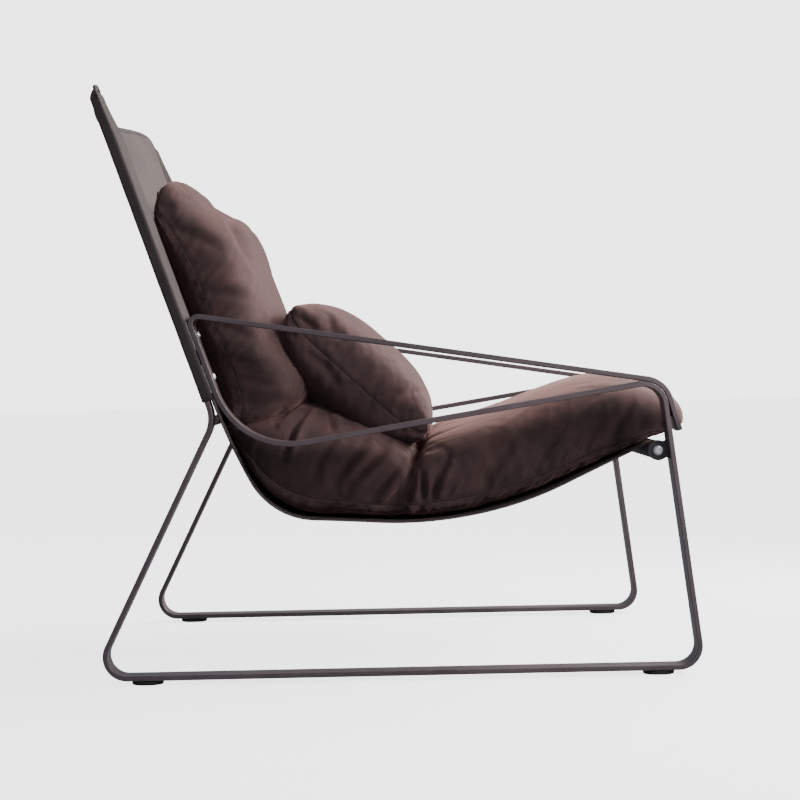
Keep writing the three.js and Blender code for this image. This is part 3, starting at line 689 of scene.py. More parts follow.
def lofted(rings: Array, caps: bool = True, loop: bool = False) -> Skin:
    """A skin over closed rings of equal count.

    Args:
        rings: Points as (ring, point, 3).
        caps: Whether the first and last ring are filled.
        loop: Whether the last ring joins the first.

    Returns:
        Vertices and faces.
    """
    count, around = rings.shape[:2]
    faces: list[list[int]] = []
    for i in range(count if loop else count - 1):
        here, there = i * around, (i + 1) % count * around
        for j in range(around):
            k = (j + 1) % around
            faces.append([here + j, here + k, there + k, there + j])
    if caps:
        faces.append(list(range(around))[::-1])
        faces.append([(count - 1) * around + j for j in range(around)])
    return rings.reshape(-1, 3), faces


def rounded_polygon(corners: Array, radii: Sequence[float], arc: int = 4) -> Array:
    """Points round a polygon with soft corners, and one just beyond each end of a bend to hold the flats.

    Args:
        corners: Corners in order.
        radii: Radius at each corner.
        arc: Steps round each bend.

    Returns:
        The points in the same order.
    """
    points: list[Array] = []
    for before, corner, after, radius in zip(np.roll(corners, 1, 0), corners, np.roll(corners, -1, 0), radii):
        into, out = unit(corner - before), unit(after - corner)
        turn = math.atan2(cross(into, out), float(into @ out))
        start = corner - into * radius * math.tan(abs(turn) / 2)
        centre = start + left_of(into) * math.copysign(radius, turn)
        bend = [centre + turned(start - centre, turn * i / arc) for i in range(arc + 1)]
        points += [start - into * radius * 0.3, *bend, bend[-1] + out * radius * 0.3]
    return np.array(points)


def rounded_rectangle(half_a: float, half_b: float, radius: float) -> Array:
    """Points round a rectangle with soft corners, anticlockwise in (a, b)."""
    corners = np.array([(half_a, half_b), (-half_a, half_b), (-half_a, -half_b), (half_a, -half_b)])
    return rounded_polygon(corners, [radius] * 4, 3)


def swept(line: BentLine, section: Array, y: float) -> Array:
    """Rings of a section along a side-view line.

    Args:
        line: The line.
        section: Points as (off the line, across the chair).
        y: Place of the line across the chair.

    Returns:
        The rings as (ring, point, 3).
    """
    off = line.points[:, None, :] + line.normals[:, None, :] * section[None, :, :1]
    across = np.broadcast_to(y + section[None, :, 1], off.shape[:2])
    return np.stack([off[..., 0], across, off[..., 1]], axis=2)


def capped(rings: Array, inset: float) -> Array:
    """Rings with a small extra ring at each end, so that the ends have a soft edge.

    Args:
        rings: The rings.
        inset: Width of the soft edge.

    Returns:
        The rings with both ends set in.
    """

    def shrunk(ring: Array) -> Array:
        """Draws a ring in towards its middle.

        Args:
            ring: The ring.

        Returns:
            The smaller ring.
        """
        middle = ring.mean(axis=0)
        out = ring - middle
        return middle + out * (1 - inset / np.linalg.norm(out, axis=1, keepdims=True))

    start = unit(rings[0].mean(axis=0) - rings[1].mean(axis=0)) * inset
    end = unit(rings[-1].mean(axis=0) - rings[-2].mean(axis=0)) * inset
    ends = shrunk(rings[0])[None], shrunk(rings[-1])[None]
    return np.concatenate([ends[0], rings[:1] - start, rings[1:-1], rings[-1:] - end, ends[1]])


def lathed(centre: Array, profile: Sequence[tuple[float, float]]) -> Array:
    """Rings of a turned piece that lies across the chair.

    Args:
        centre: Its axis in the side view.
        profile: Radius and place across the chair of each ring.

    Returns:
        The rings as (ring, point, 3).
    """
    around = np.linspace(0, 2 * math.pi, 48, endpoint=False)
    return np.array(
        [
            [(centre[0] + r * math.cos(a), y, centre[1] + r * math.sin(a)) for a in around]
            for r, y in profile
        ]
    )


def eased(low: float, high: float, value: Array) -> Array:
    """Runs smoothly from 0 at low to 1 at high."""
    t = np.clip((value - low) / (high - low), 0, 1)
    return t * t * (3 - 2 * t)


def mottle(points: Array, size: float, seed: float) -> Array:
    """Smooth noise.

    Args:
        points: Places.
        size: Size of its swellings.
        seed: Offset that sets it apart from other noise.

    Returns:
        The noise at each place, from about -1 to 1.
    """
    flat = points.reshape(-1, 3) / size
    made = [perlin.noise(Vector((p[0] + seed, p[1] - seed, p[2] + 2 * seed))) for p in flat]
    return np.array(made).reshape(points.shape[:-1])


@dataclass
class SideFrames:
    """The two bent flat bars."""

    plan: Plan
    shop: Workshop
    edge_radius: float = 0.0012
    end_bevel: float = 0.0006

    def build(self) -> None:
        """Builds both bars with soft edges, in place of the CAD bars."""
        line = BentLine(self.plan.frame_corners, 0.03, 4.0)
        section = rounded_rectangle(self.plan.bar_thickness / 2, self.plan.bar_width / 2, self.edge_radius)
        for side, sign in (("right", -1), ("left", 1)):
            rings = capped(swept(line, section, sign * self.plan.bar_middle), self.end_bevel)
            vertices, faces = lofted(rings)
            self.shop.piece(
                f"bent_bar_{side}", vertices, faces, POWDER_COAT, Slot.STEEL, replaces=[f"side_frame_{side}"]
            )


@dataclass
class Crossbars:
    """The front tube and the rear rod between the side frames."""

    plan: Plan
    shop: Workshop
    half_lug: float = 0.005
    wall: float = 0.002
    bevel: float = 0.0006

    def build(self) -> None:
        """Builds both crossbars, smooth and with soft ends, in place of the CAD ones."""
        plan = self.plan
        tube = self._outside(plan.crossbar_radius, plan.bar_middle - self.half_lug - plan.gap)
        bore, end = plan.crossbar_radius - self.wall, tube[-1][1]
        rings = lathed(plan.crossbar, [*tube, (bore, end), (bore, -end)])
        self._piece("front_tube", lofted(rings, caps=False, loop=True), "front_crossbar")
        rod = self._outside(plan.rear_crossbar_radius, plan.bar_inner - plan.gap)
        self._piece("rear_rod", lofted(lathed(plan.rear_crossbar, rod)), "rear_crossbar")

    def _outside(self, radius: float, end: float) -> list[tuple[float, float]]:
        """Profile of a round bar with bevelled ends."""
        set_in, bevel = radius - self.bevel, self.bevel
        return [(set_in, -end), (radius, -end + bevel), (radius, end - bevel), (set_in, end)]

    def _piece(self, name: str, skin: Skin, node: str) -> None:
        """Makes a crossbar in place of its CAD node.

        Args:
            name: Name of the piece.
            skin: Its vertices and faces.
            node: The CAD node.
        """
        vertices, faces = skin
        outwards = [f[::-1] for f in faces]
        self.shop.piece(name, vertices, outwards, POWDER_COAT, Slot.STEEL, replaces=[node])


def joined(skins: Sequence[Skin]) -> Skin:
    """Several skins as one.

    Args:
        skins: Vertices and faces of each.

    Returns:
        All vertices and faces, in the same order.
    """
    faces: list[list[int]] = []
    base = 0
    for vertices, quads in skins:
        faces += [[base + i for i in f] for f in quads]
        base += len(vertices)
    return np.concatenate([vertices for vertices, _ in skins]), faces


@dataclass
class Stitching:
    """Rows of short stitches."""

    length: float = 0.0040
    pitch: float = 0.0058
    radius: float = 0.00045

    def row(self, path: Array, lift: Array) -> Skin:
        """Stitches along a path, their ends sunk in the leather.

        Args:
            path: Points of the path.
            lift: Unit direction off the surface at each point.

        Returns:
            Vertices and faces.
        """
        lengths = along(path)
        around = np.arange(6) * math.pi / 3
        # Share of a stitch's length, and the height of its middle there as a share of its radius.
        profile = ((0.0, -0.9), (0.22, 0.35), (0.78, 0.35), (1.0, -0.9))

        def at(distance: float) -> tuple[Array, Array]:
            """Finds a place on the path.

            Args:
                distance: Distance along the path.

            Returns:
                The place, and the direction off the surface there.
            """
            p = np.array([np.interp(distance, lengths, path[:, k]) for k in range(3)])
            n = np.array([np.interp(distance, lengths, lift[:, k]) for k in range(3)])
            return p, unit(n)

        stitches = []
        for index in range(int((lengths[-1] - self.length) / self.pitch)):
            start = index * self.pitch + self.pitch / 2
            rings = []
            for share, height in profile:
                p, n = at(start + share * self.length)
                q, _ = at(start + share * self.length + 1e-4)
                side = unit(np.cross(unit(q - p), n))
                middle = p + n * height * self.radius
                rings.append([middle + self.radius * (math.cos(a) * side + math.sin(a) * n) for a in around])
            stitches.append(lofted(np.array(rings)))
        return joined(stitches)


# Rings that close the top of a sleeve: the share of its thickness that is left, the rise above its
# first ring, and the share of the way in towards the middle of the bar.
SLEEVE_TOP = ((0.24, 0.0120, 0.10), (0.42, 0.0108, 0.07), (0.72, 0.0062, 0.03), (0.92, 0.0024, 0.01))


@dataclass
class Sling:
    """The leather sling: sheet, sleeves, welt, hem and stitching.

    Attributes:
        plan: Shared dimensions.
        shop: Maker of the pieces.
        freeing: Height below the sleeves over which the edges of the sheet come free of the bars.
        proud: How far the sheet stands forward beside the sleeves.
        ripple: Height of the unevenness of the sheet.
        below_crest: How far the sheet and its facing end below the crest.
        facing_thickness: Thickness of the facing at the top.
        welt_depth: Height of the welt.
        bevel: Soft edge of the hem.
        slimmer: Share of its front by which a sleeve is slimmer at the top.
        line: Side-view line of the middle of the leather.
    """

    plan: Plan
    shop: Workshop
    freeing: float = 0.03
    proud: float = 0.0022
    ripple: float = 0.0012
    below_crest: float = 0.004
    facing_thickness: float = 0.0016
    welt_depth: float = 0.0095
    bevel: float = 0.0006
    slimmer: float = 0.45
    line: BentLine = field(init=False)

    def __post_init__(self) -> None:
        """Samples the line of the sling."""
        self.line = BentLine(self.plan.sling_corners, 0.012, 2.0)

    def build(self) -> None:
        """Builds the sling in place of the CAD sling."""
        sheet = self._sheet()
        others = [*self._sleeves(), *self._welt(), self._hem(), self._stitches()]
        length = float(self.line.lengths[-1]) + self.plan.welt_height + 0.7 * self.plan.welt_crown
        log.info("sling sheet %.3f m long", length)

    def _edge(self, heights: Array) -> Array:
        """Finds the sheet's half width, widest between the sleeves and less where it hangs free.

        Args:
            heights: Heights on the sheet.

        Returns:
            The half width at each height.
        """
        plan = self.plan
        sleeve_edge = plan.bar_inner - plan.fit - plan.leather * 0.8
        freed = eased(0, self.freeing, plan.sleeve_foot_height - heights)
        return sleeve_edge + (plan.seat_edge - sleeve_edge) * freed

    def _sheet(self) -> bpy.types.Object:
        """One sheet from the crowned top edge, hollow between the uprights, down and forward to the hem.

        Returns:
            The sheet.
        """
        plan, line = self.plan, self.line
        # Columns lie closer together towards the edges.
        shares = np.sin(np.linspace(-math.pi / 2, math.pi / 2, 61)) * 0.35 + np.linspace(-1, 1, 61) * 0.65
        y = self._edge(line.points[:, 1])[:, None] * shares[None, :]
        crown = np.linspace(1, 0, 6, endpoint=False)
        rise = crown[:, None] * (self._crest(y[0]) - self.below_crest)[None, :]
        above = plan.sling_top + rise[..., None] * plan.back_up
        count, rows = len(shares), len(crown) + len(line.points)
        centre = np.concatenate([above, np.repeat(line.points[:, None, :], count, axis=1)])
        normals = np.concatenate([np.repeat(line.normals[:1], len(crown), axis=0), line.normals])[:, None, :]
        y = np.concatenate([np.repeat(y[:1], len(crown), axis=0), y])
        s = np.concatenate([-crown * plan.welt_height, line.lengths])
        sleeved = eased(0.0, 0.06, centre[..., 1] - plan.sleeve_foot_height)
        beside = self.proud * np.abs(shares)[None, :] ** 6 * sleeved
        off = beside - plan.hollow(centre[..., 1], y) + self._ripple(s, shares)
        faces_of = [centre + normals * (off + side * plan.leather / 2)[..., None] for side in (1, -1)]
        skins = [np.stack([p[..., 0], y, p[..., 1]], axis=2) for p in faces_of]
        vertices, faces = lofted(np.concatenate([skins[0], skins[1][:, ::-1]], axis=1), caps=False)
        for ring, flip in ((0, False), (rows - 1, True)):
            for j in range(count - 1):
                a, b = ring * 2 * count + j, ring * 2 * count + 2 * count - 1 - j
                quad = [a, b, b - 1, a + 1]
                faces.append(quad[::-1] if flip else quad)
        return self.shop.piece(
            "sling_sheet", vertices, [f[::-1] for f in faces], SADDLE, Slot.SLING, replaces=["leather_sling"]
        )

    def _ripple(self, s: Array, shares: Array) -> Array:
        """Slight unevenness of the hanging leather.

        Args:
            s: Distances along the sling.
            shares: Places across it, from -1 to 1.

        Returns:
            The height at each place.
        """
        made = np.zeros((len(s), len(shares)))
        for i, a in enumerate(s):
            for j, b in enumerate(shares):
                made[i, j] = self.ripple * perlin.noise(Vector((a * 7, b * 2.5, 0.4)))
        return made

    def _sleeves(self) -> list[bpy.types.Object]:
        """A sleeve over each upright.

        Returns:
            Both sleeves.
        """
        made = []
        for side, sign in (("right", -1), ("left", 1)):
            rings = self._sleeve(sign)
            vertices, faces = lofted(rings, caps=False)
            faces.append(list(range(rings.shape[1]))[::-1])
            # The sleeves wear the darker copy of the sheet's leather: painted shade.
            made.append(self.shop.piece(f"sling_sleeve_{side}", vertices, faces, SHADED_SLEEVE, Slot.SLING))
        return made

    def _sleeve(self, sign: int) -> Array:
        """A padded-looking sleeve, fullest where it meets the sheet, closed at its top and open at its foot.

        Args:
            sign: -1 for the right side, 1 for the left.

        Returns:
            Its rings, from the top down outside and up again inside.
        """
        plan = self.plan
        foot = at_height(plan.knee, plan.back_up, plan.sleeve_foot_height)
        top = plan.upright_top + plan.back_up * (plan.fit + plan.leather)
        line = BentLine([Corner(top), Corner(foot)], 0.012, 4.0)
        half, wide = plan.bar_thickness / 2 + plan.fit, plan.bar_width / 2 + plan.fit
        back, edge = half + plan.leather, wide + plan.leather
        skin = [(-back, edge), (0.0110, edge), (0.0205, -edge + 0.014), (0.0074, -edge), (-back, -edge)]
        outer = rounded_polygon(np.array(skin), (0.003, 0.0060, 0.0100, 0.0006, 0.0024))
        pocket = [(-half, wide), (half, wide), (half, -wide + 0.006), (half, -wide), (-half, -wide)]
        inner = rounded_polygon(np.array(pocket), [0.001] * 5)
        mirror, place = np.array([1.0, sign]), sign * plan.bar_middle
        ahead, climb = in_space(plan.back_front), in_space(plan.back_up)
        cover = swept(line, outer[::-sign] * mirror, place)
        face = line.points + plan.back_front * plan.sling_offset
        proud = np.sum((cover - np.insert(face, 1, 0, axis=1)[:, None]) * ahead, axis=2)
        slim = self.slimmer * (1 - eased(0.0, 0.08, line.lengths))[:, None]
        cover = cover - (np.clip(proud, 0, None) * slim)[..., None] * ahead
        out = cover - cover.mean(axis=1, keepdims=True)
        out /= np.linalg.norm(out, axis=2, keepdims=True)
        cover = cover + out * (0.0007 * mottle(cover, 0.045, sign))[..., None]
        lining = swept(line, inner[::-sign] * mirror, place)[1:]
        lip = in_space(plan.sling_top, place)
        thick = np.sum((cover[0] - lip) * ahead, axis=1, keepdims=True) * ahead
        taper = [
            cover[0] - thick * (1 - keep) + climb * rise + (lip - cover[0]) * (0, tuck, 0)
            for keep, rise, tuck in SLEEVE_TOP
        ]
        return np.concatenate([taper, cover, lining[::-1]])

    def _crest(self, y: Array) -> Array:
        """Height of the top edge above the ends of the uprights, with round corners.

        Args:
            y: Places across the chair.

        Returns:
            The height at each place.
        """
        plan = self.plan
        rise = plan.welt_height + plan.welt_crown * (1 - np.abs(y / plan.half_top) ** 6)
        corner = np.clip((plan.half_top - np.abs(y)) / plan.welt_height, 0.02, 1)
        return rise * np.sqrt(1 - (1 - corner) ** 2)

    def _band(
        self, name: str, edges: tuple[Array, Array], y: Array, thickness: float, finish: Finish
    ) -> bpy.types.Object:
        """A strip of leather along the top edge.

        Args:
            name: Name of the piece.
            edges: Heights of its lower and of its upper edge at each place.
            y: Places across the chair.
            thickness: Its thickness.
            finish: Its surface.

        Returns:
            The piece.
        """
        plan = self.plan
        soft = thickness * 0.42
        section = rounded_rectangle(thickness / 2, 0.5, soft)
        share = np.clip(section[:, 1] + 0.5, 0, 1)
        rings = []
        for across, bottom, top in zip(y, *edges):
            rim = min(soft, (top - bottom) / 2)
            up = np.where(share > 0.5, top - (1 - share) / soft * rim, bottom + share / soft * rim)
            level = plan.sling_top[1] + plan.back_up[1] * up
            back = section[:, 0] - plan.hollow(level, np.full_like(level, across))
            p = plan.sling_top + up[:, None] * plan.back_up + back[:, None] * plan.back_front
            rings.append(np.stack([p[:, 0], np.full(len(p), across), p[:, 1]], axis=1))
        vertices, faces = lofted(np.array(rings))
        return self.shop.piece(name, vertices, faces, finish, Slot.SLING)

    def _welt(self) -> list[bpy.types.Object]:
        """The crowned top of the back, with its edge turned over.

        Returns:
            The facing and the welt.
        """
        plan = self.plan
        y = np.sin(np.linspace(-math.pi / 2, math.pi / 2, 141)) * plan.half_top
        crest = self._crest(y)
        foot = np.full_like(y, -0.0022)
        facing_top = np.maximum(crest - self.below_crest, foot + 0.002)
        welt_foot = np.maximum(crest - self.welt_depth, -0.0016)
        return [
            self._band("sling_top", (foot, facing_top), y, self.facing_thickness, SADDLE),
            self._band("sling_welt", (welt_foot, crest), y, plan.welt_thickness, SADDLE_EDGE),
        ]

    def _hem(self) -> bpy.types.Object:
        """The hem of the seat, sewn round the front tube.

        Returns:
            The hem.
        """
        plan, bevel = self.plan, self.bevel
        outer, inner = plan.hem_radius + plan.leather / 2, plan.hem_radius - plan.leather / 2
        end = plan.seat_edge
        near = [(inner, -end), (outer - bevel, -end), (outer, -end + bevel)]
        rings = lathed(plan.crossbar, [*near, *((radius, -y) for radius, y in near[::-1])])
        vertices, faces = lofted(rings, caps=False, loop=True)
        return self.shop.piece("sling_hem", vertices, [f[::-1] for f in faces], SADDLE, Slot.SLING)

    def _stitches(self) -> bpy.types.Object:
        """Stitches beside the sleeves, along the welt and in two rows behind the hem, on both faces.

        Returns:
            All the stitches.
        """
        rows = [*self._sleeve_rows(), *self._welt_rows(), *self._hem_rows()]
        vertices, faces = joined([Stitching().row(path, lift) for path, lift in rows])
        return self.shop.piece("sling_stitches", vertices, faces, THREAD, Slot.SLING)

    def _sleeve_rows(self) -> Iterator[tuple[Array, Array]]:
        """Paths of the stitches beside the sleeves, with the directions off the leather.

        Returns:
            Each path and its directions.
        """
        plan, ahead = self.plan, self.plan.back_front
        beside, above_foot, below_top, proud = 0.008, 0.006, 0.004, 0.0018
        foot = at_height(plan.knee, plan.back_up, plan.sleeve_foot_height + above_foot)
        for sign in (-1, 1):
            y = sign * (plan.bar_inner - beside)
            for face in (1, -1):
                off = plan.sling_offset + proud + face * plan.leather / 2
                ends = [foot + ahead * off, plan.upright_top + ahead * off - plan.back_up * below_top]
                sag = [float(plan.hollow(np.array(p[1]), np.array(y))) for p in ends]
                path = np.array([in_space(p - h * ahead, y) for p, h in zip(ends, sag)])
                yield path, np.tile(in_space(ahead) * face, (2, 1))

    def _welt_rows(self) -> Iterator[tuple[Array, Array]]:
        """Paths of the stitches along the welt, with the directions off the leather.

        Returns:
            Each path and its directions.
        """
        plan, ahead = self.plan, self.plan.back_front
        end_margin, below_crest = 0.012, 0.0078
        across = np.linspace(-1, 1, 80) * (plan.frame_width / 2 - end_margin)
        up = self._crest(across) - below_crest
        sag = plan.hollow(plan.sling_top[1] + plan.back_up[1] * up, across)
        for face in (1, -1):
            off = face * plan.welt_thickness / 2 - sag
            p = plan.sling_top + up[:, None] * plan.back_up + off[:, None] * ahead
            path = np.stack([p[:, 0], across, p[:, 1]], axis=1)
            yield path, np.tile(in_space(ahead) * face, (len(across), 1))

    def _hem_rows(self) -> Iterator[tuple[Array, Array]]:
        """Paths of the stitches behind the hem, with the directions off the leather.

        Returns:
            Each path and its directions.
        """
        plan, line = self.plan, self.line
        last, normal, heading = line.points[-1], line.normals[-1], line.tangents[-1]
        end_margin, rows_behind = 0.005, (0.017, 0.023)
        reach = plan.seat_edge - end_margin
        for back in rows_behind:
            for face in (1, -1):
                p = last - heading * back + normal * face * plan.leather / 2
                path = np.array([in_space(p, y) for y in (-reach, reach)])
                yield path, np.tile(in_space(normal) * face, (2, 1))


# Cushions


def spaced(points: Array, count: int) -> Array:
    """Points at equal distances along a smooth curve through control points.

    Args:
        points: The control points.
        count: Number of points.

    Returns:
        The points.
    """
    padded = np.vstack([2 * points[0] - points[1], points, 2 * points[-1] - points[-2]])
    t = np.linspace(0, 1, 24, endpoint=False)[:, None]
    fine = []
    for p0, p1, p2, p3 in zip(padded, padded[1:], padded[2:], padded[3:]):
        square, cube = 2 * p0 - 5 * p1 + 4 * p2 - p3, 3 * p1 - p0 - 3 * p2 + p3
        fine.append(0.5 * (2 * p1 + (p2 - p0) * t + square * t**2 + cube * t**3))
    curve = np.vstack([*fine, points[-1:]])
    lengths = along(curve)
    at = np.linspace(0, lengths[-1], count)
    return np.stack([np.interp(at, lengths, curve[:, k]) for k in range(2)], axis=1)


def blurred(grid: Array, reach: float) -> Array:
    """A grid of vectors smoothed over its neighbours.

    Args:
        grid: The vectors.
        reach: How far the smoothing reaches, in cells.

    Returns:
        The smoothed grid.
    """
    span = math.ceil(3 * reach)
    weights = np.exp(-0.5 * (np.arange(-span, span + 1) / reach) ** 2)
    weights /= weights.sum()
    for axis in (0, 1):
        edges = [(span, span) if a == axis else (0, 0) for a in range(grid.ndim)]
        wide = np.pad(grid, edges, mode="edge")
        cells = np.arange(grid.shape[axis])
        grid = sum(w * np.take(wide, cells + i, axis=axis) for i, w in enumerate(weights))
    return grid


def doubled(grid: Array) -> Array:
    """A grid with a smoothly placed row and column added between each two.

    Args:
        grid: The points.

    Returns:
        The finer grid.
    """
    for axis in (0, 1):
        g = np.moveaxis(grid, axis, 0)
        ends = np.concatenate([2 * g[:1] - g[1:2], g, 2 * g[-1:] - g[-2:-1]])
        made = np.empty((2 * len(g) - 1, *g.shape[1:]))
        made[0::2] = g
        made[1::2] = (9 * (ends[1:-2] + ends[2:-1]) - ends[:-3] - ends[3:]) / 16
        grid = np.moveaxis(made, 0, axis)
    return grid


def facing(panel: Array, outwards: Array) -> Array:
    """Unit normals of a panel.

    Args:
        panel: Its points as a grid.
        outwards: A direction on its outer side at each point.

    Returns:
        The normals on that side.
    """
    normals = np.cross(np.gradient(panel, axis=0), np.gradient(panel, axis=1))
    normals /= np.maximum(np.linalg.norm(normals, axis=2, keepdims=True), 1e-12)
    return normals * np.sign(np.sum(normals * outwards))


def squared(angle: Array) -> Array:
    """Runs from -1 to 1 as an angle runs over half a turn, squarer at the ends than a circle."""
    return -np.sign(np.cos(angle)) * np.abs(np.cos(angle)) ** 0.75


def hump(distance: Array, reach: float) -> Array:
    """Rises from 0 to 1 at the reach, and dies away beyond it."""
    return distance / reach * np.exp(1 - distance / reach)


def gathers(places: Array, seed: float) -> Array:
    """Noise with sharp ridges 21 mm apart or so, like leather gathered by a row of stitches."""
    return 0.5 - 2.2 * np.abs(mottle(places, 0.021, seed))


def sewn(front: Array, back: Array) -> tuple[Array, list[list[int]], Array]:
    """Two panels joined along their shared rim.

    Args:
        front: Points of the front panel as a grid.
        back: Points of the back panel, equal to the front one's along the rim.

    Returns:
        Vertices, faces, and the front panel's indices as a grid.
    """
    rows, columns = front.shape[:2]
    front_ids = np.arange(rows * columns).reshape(rows, columns)
    back_ids = front_ids.copy()
    inner = np.arange((rows - 2) * (columns - 2)).reshape(rows - 2, columns - 2)
    back_ids[1:-1, 1:-1] = inner + rows * columns
    vertices = np.concatenate([front.reshape(-1, 3), back[1:-1, 1:-1].reshape(-1, 3)])
    faces: list[list[int]] = []
    for ids, order in ((front_ids, -1), (back_ids, 1)):
        quads = np.stack([ids[:-1, :-1], ids[:-1, 1:], ids[1:, 1:], ids[1:, :-1]], axis=2).reshape(-1, 4)
        faces += quads[:, ::order].tolist()
    return vertices, faces, front_ids


@dataclass(frozen=True)
class Fold:
    """A fold of the leather: a groove with a soft ridge on its left.

    Attributes:
        path: Points in the side view, in millimetres from the crook of the sling.
        depth: Depth of the groove, in millimetres.
        width: Half width of the groove, in millimetres.
        reach: How far in from the cushion's side it runs, in millimetres.
    """

    path: tuple[tuple[float, float], ...]
    depth: float
    width: float
    reach: float

    def lift(self, x: Array, z: Array, y: Array, half_width: float) -> Array:
        """How far the fold lifts the surface.

        Args:
            x: Places forwards from the crook.
            z: Places above the crook.
            y: Places across the chair.
            half_width: Half the cushion's width.

        Returns:
            The lift at each place, negative in the groove.
        """
        # The far side's folds lie a little forward and down, and are shallower, so that the sides differ.
        far = y > 0
        p = np.stack([x / MM - np.where(far, 7.0, 0.0), z / MM + np.where(far, 5.0, 0.0)], axis=-1)
        path = np.array(self.path, dtype=float)
        lengths = along(path)
        best = np.full(x.shape, np.inf)
        share, side = np.zeros(x.shape), np.zeros(x.shape)
        for a, b, start in zip(path, path[1:], lengths):
            ab = b - a
            t = np.clip(np.sum((p - a) * ab, axis=-1) / (ab @ ab), 0, 1)
            gap = p - (a + t[..., None] * ab)
            distance = np.linalg.norm(gap, axis=-1)
            nearer = distance < best
            best = np.where(nearer, distance, best)
            share = np.where(nearer, (start + t * np.linalg.norm(ab)) / lengths[-1], share)
            side = np.where(nearer, np.sign(ab[0] * gap[..., 1] - ab[1] * gap[..., 0]) * distance, side)
        groove = np.exp(-((best / self.width) ** 2))
        ridge = np.exp(-(((side - 1.7 * self.width) / (1.3 * self.width)) ** 2)) * (best < 6 * self.width)
        taper = np.sin(math.pi * (0.08 + 0.84 * share)) ** 0.7
        ends = np.where((share <= 0) | (share >= 1), groove, 1.0)
        inwards = eased(half_width - self.reach * MM, half_width - 0.35 * self.reach * MM, np.abs(y))
        return (0.75 * ridge - groove) * taper * ends * inwards * self.depth * MM * np.where(far, 0.85, 1.0)


SEAT_FOLDS = (
    Fold(((57, 187), (30, 169), (6, 150)), 8.0, 4.6, 130),
    Fold(((76, 182), (50, 156), (38, 139), (20, 90)), 9.0, 5.0, 110),
    Fold(((89, 184), (95, 164), (100, 136)), 6.0, 5.5, 120),
    Fold(((116, 178), (124, 160), (134, 138)), 4.5, 7.0, 110),
    Fold(((107, 127), (80, 94), (68, 60)), 5.0, 7.5, 80),
    Fold(((158, 122), (128, 88), (98, 42)), 7.5, 7.5, 90),
    Fold(((195, 118), (157, 78), (107, 34)), 8.0, 7.0, 90),
    Fold(((214, 86), (182, 48), (150, 16)), 7.0, 6.5, 80),
    Fold(((231, 62), (222, 29), (212, -4)), 5.5, 5.0, 60),
    Fold(((242, 68), (245, 37), (240, 4)), 6.5, 5.0, 60),
    Fold(((286, 90), (266, 53), (252, 10)), 6.0, 6.0, 80),
    Fold(((388, 106), (358, 71), (328, 42)), 5.5, 9.0, 90),
    Fold(((466, 122), (437, 89), (410, 64)), 5.0, 9.0, 90),
    Fold(((536, 148), (513, 114), (488, 86)), 4.5, 8.0, 90),
    Fold(((584, 178), (563, 142), (546, 116)), 3.0, 7.0, 60),
)
BACK_FOLDS = (
    Fold(((-72, 496), (-63, 479), (-50, 457), (-40, 434), (-33, 416)), 6.5, 5.0, 260),
    Fold(((-85, 304), (-56, 300), (-27, 288)), 3.5, 9.0, 60),
    Fold(((-68, 252), (-39, 244), (-13, 249)), 3.0, 9.0, 60),
    Fold(((-48, 184), (-10, 183), (34, 187)), 3.5, 9.0, 70),
    Fold(((-145, 460), (-112, 451), (-79, 433)), 3.5, 9.0, 70),
    Fold(((-100, 352), (-66, 359), (-30, 351)), 3.0, 10.0, 70),
)
PILLOW_FOLDS = (
    Fold(((26, 316), (50, 320), (76, 300)), 4.0, 6.0, 70),
    Fold(((93, 324), (104, 298), (122, 280)), 3.5, 7.0, 80),
    Fold(((210, 186), (233, 199), (252, 195)), 4.0, 6.0, 70),
    Fold(((258, 146), (237, 133), (212, 134)), 4.0, 6.5, 70),
    Fold(((60, 262), (90, 240), (110, 205)), 3.0, 9.0, 60),
)


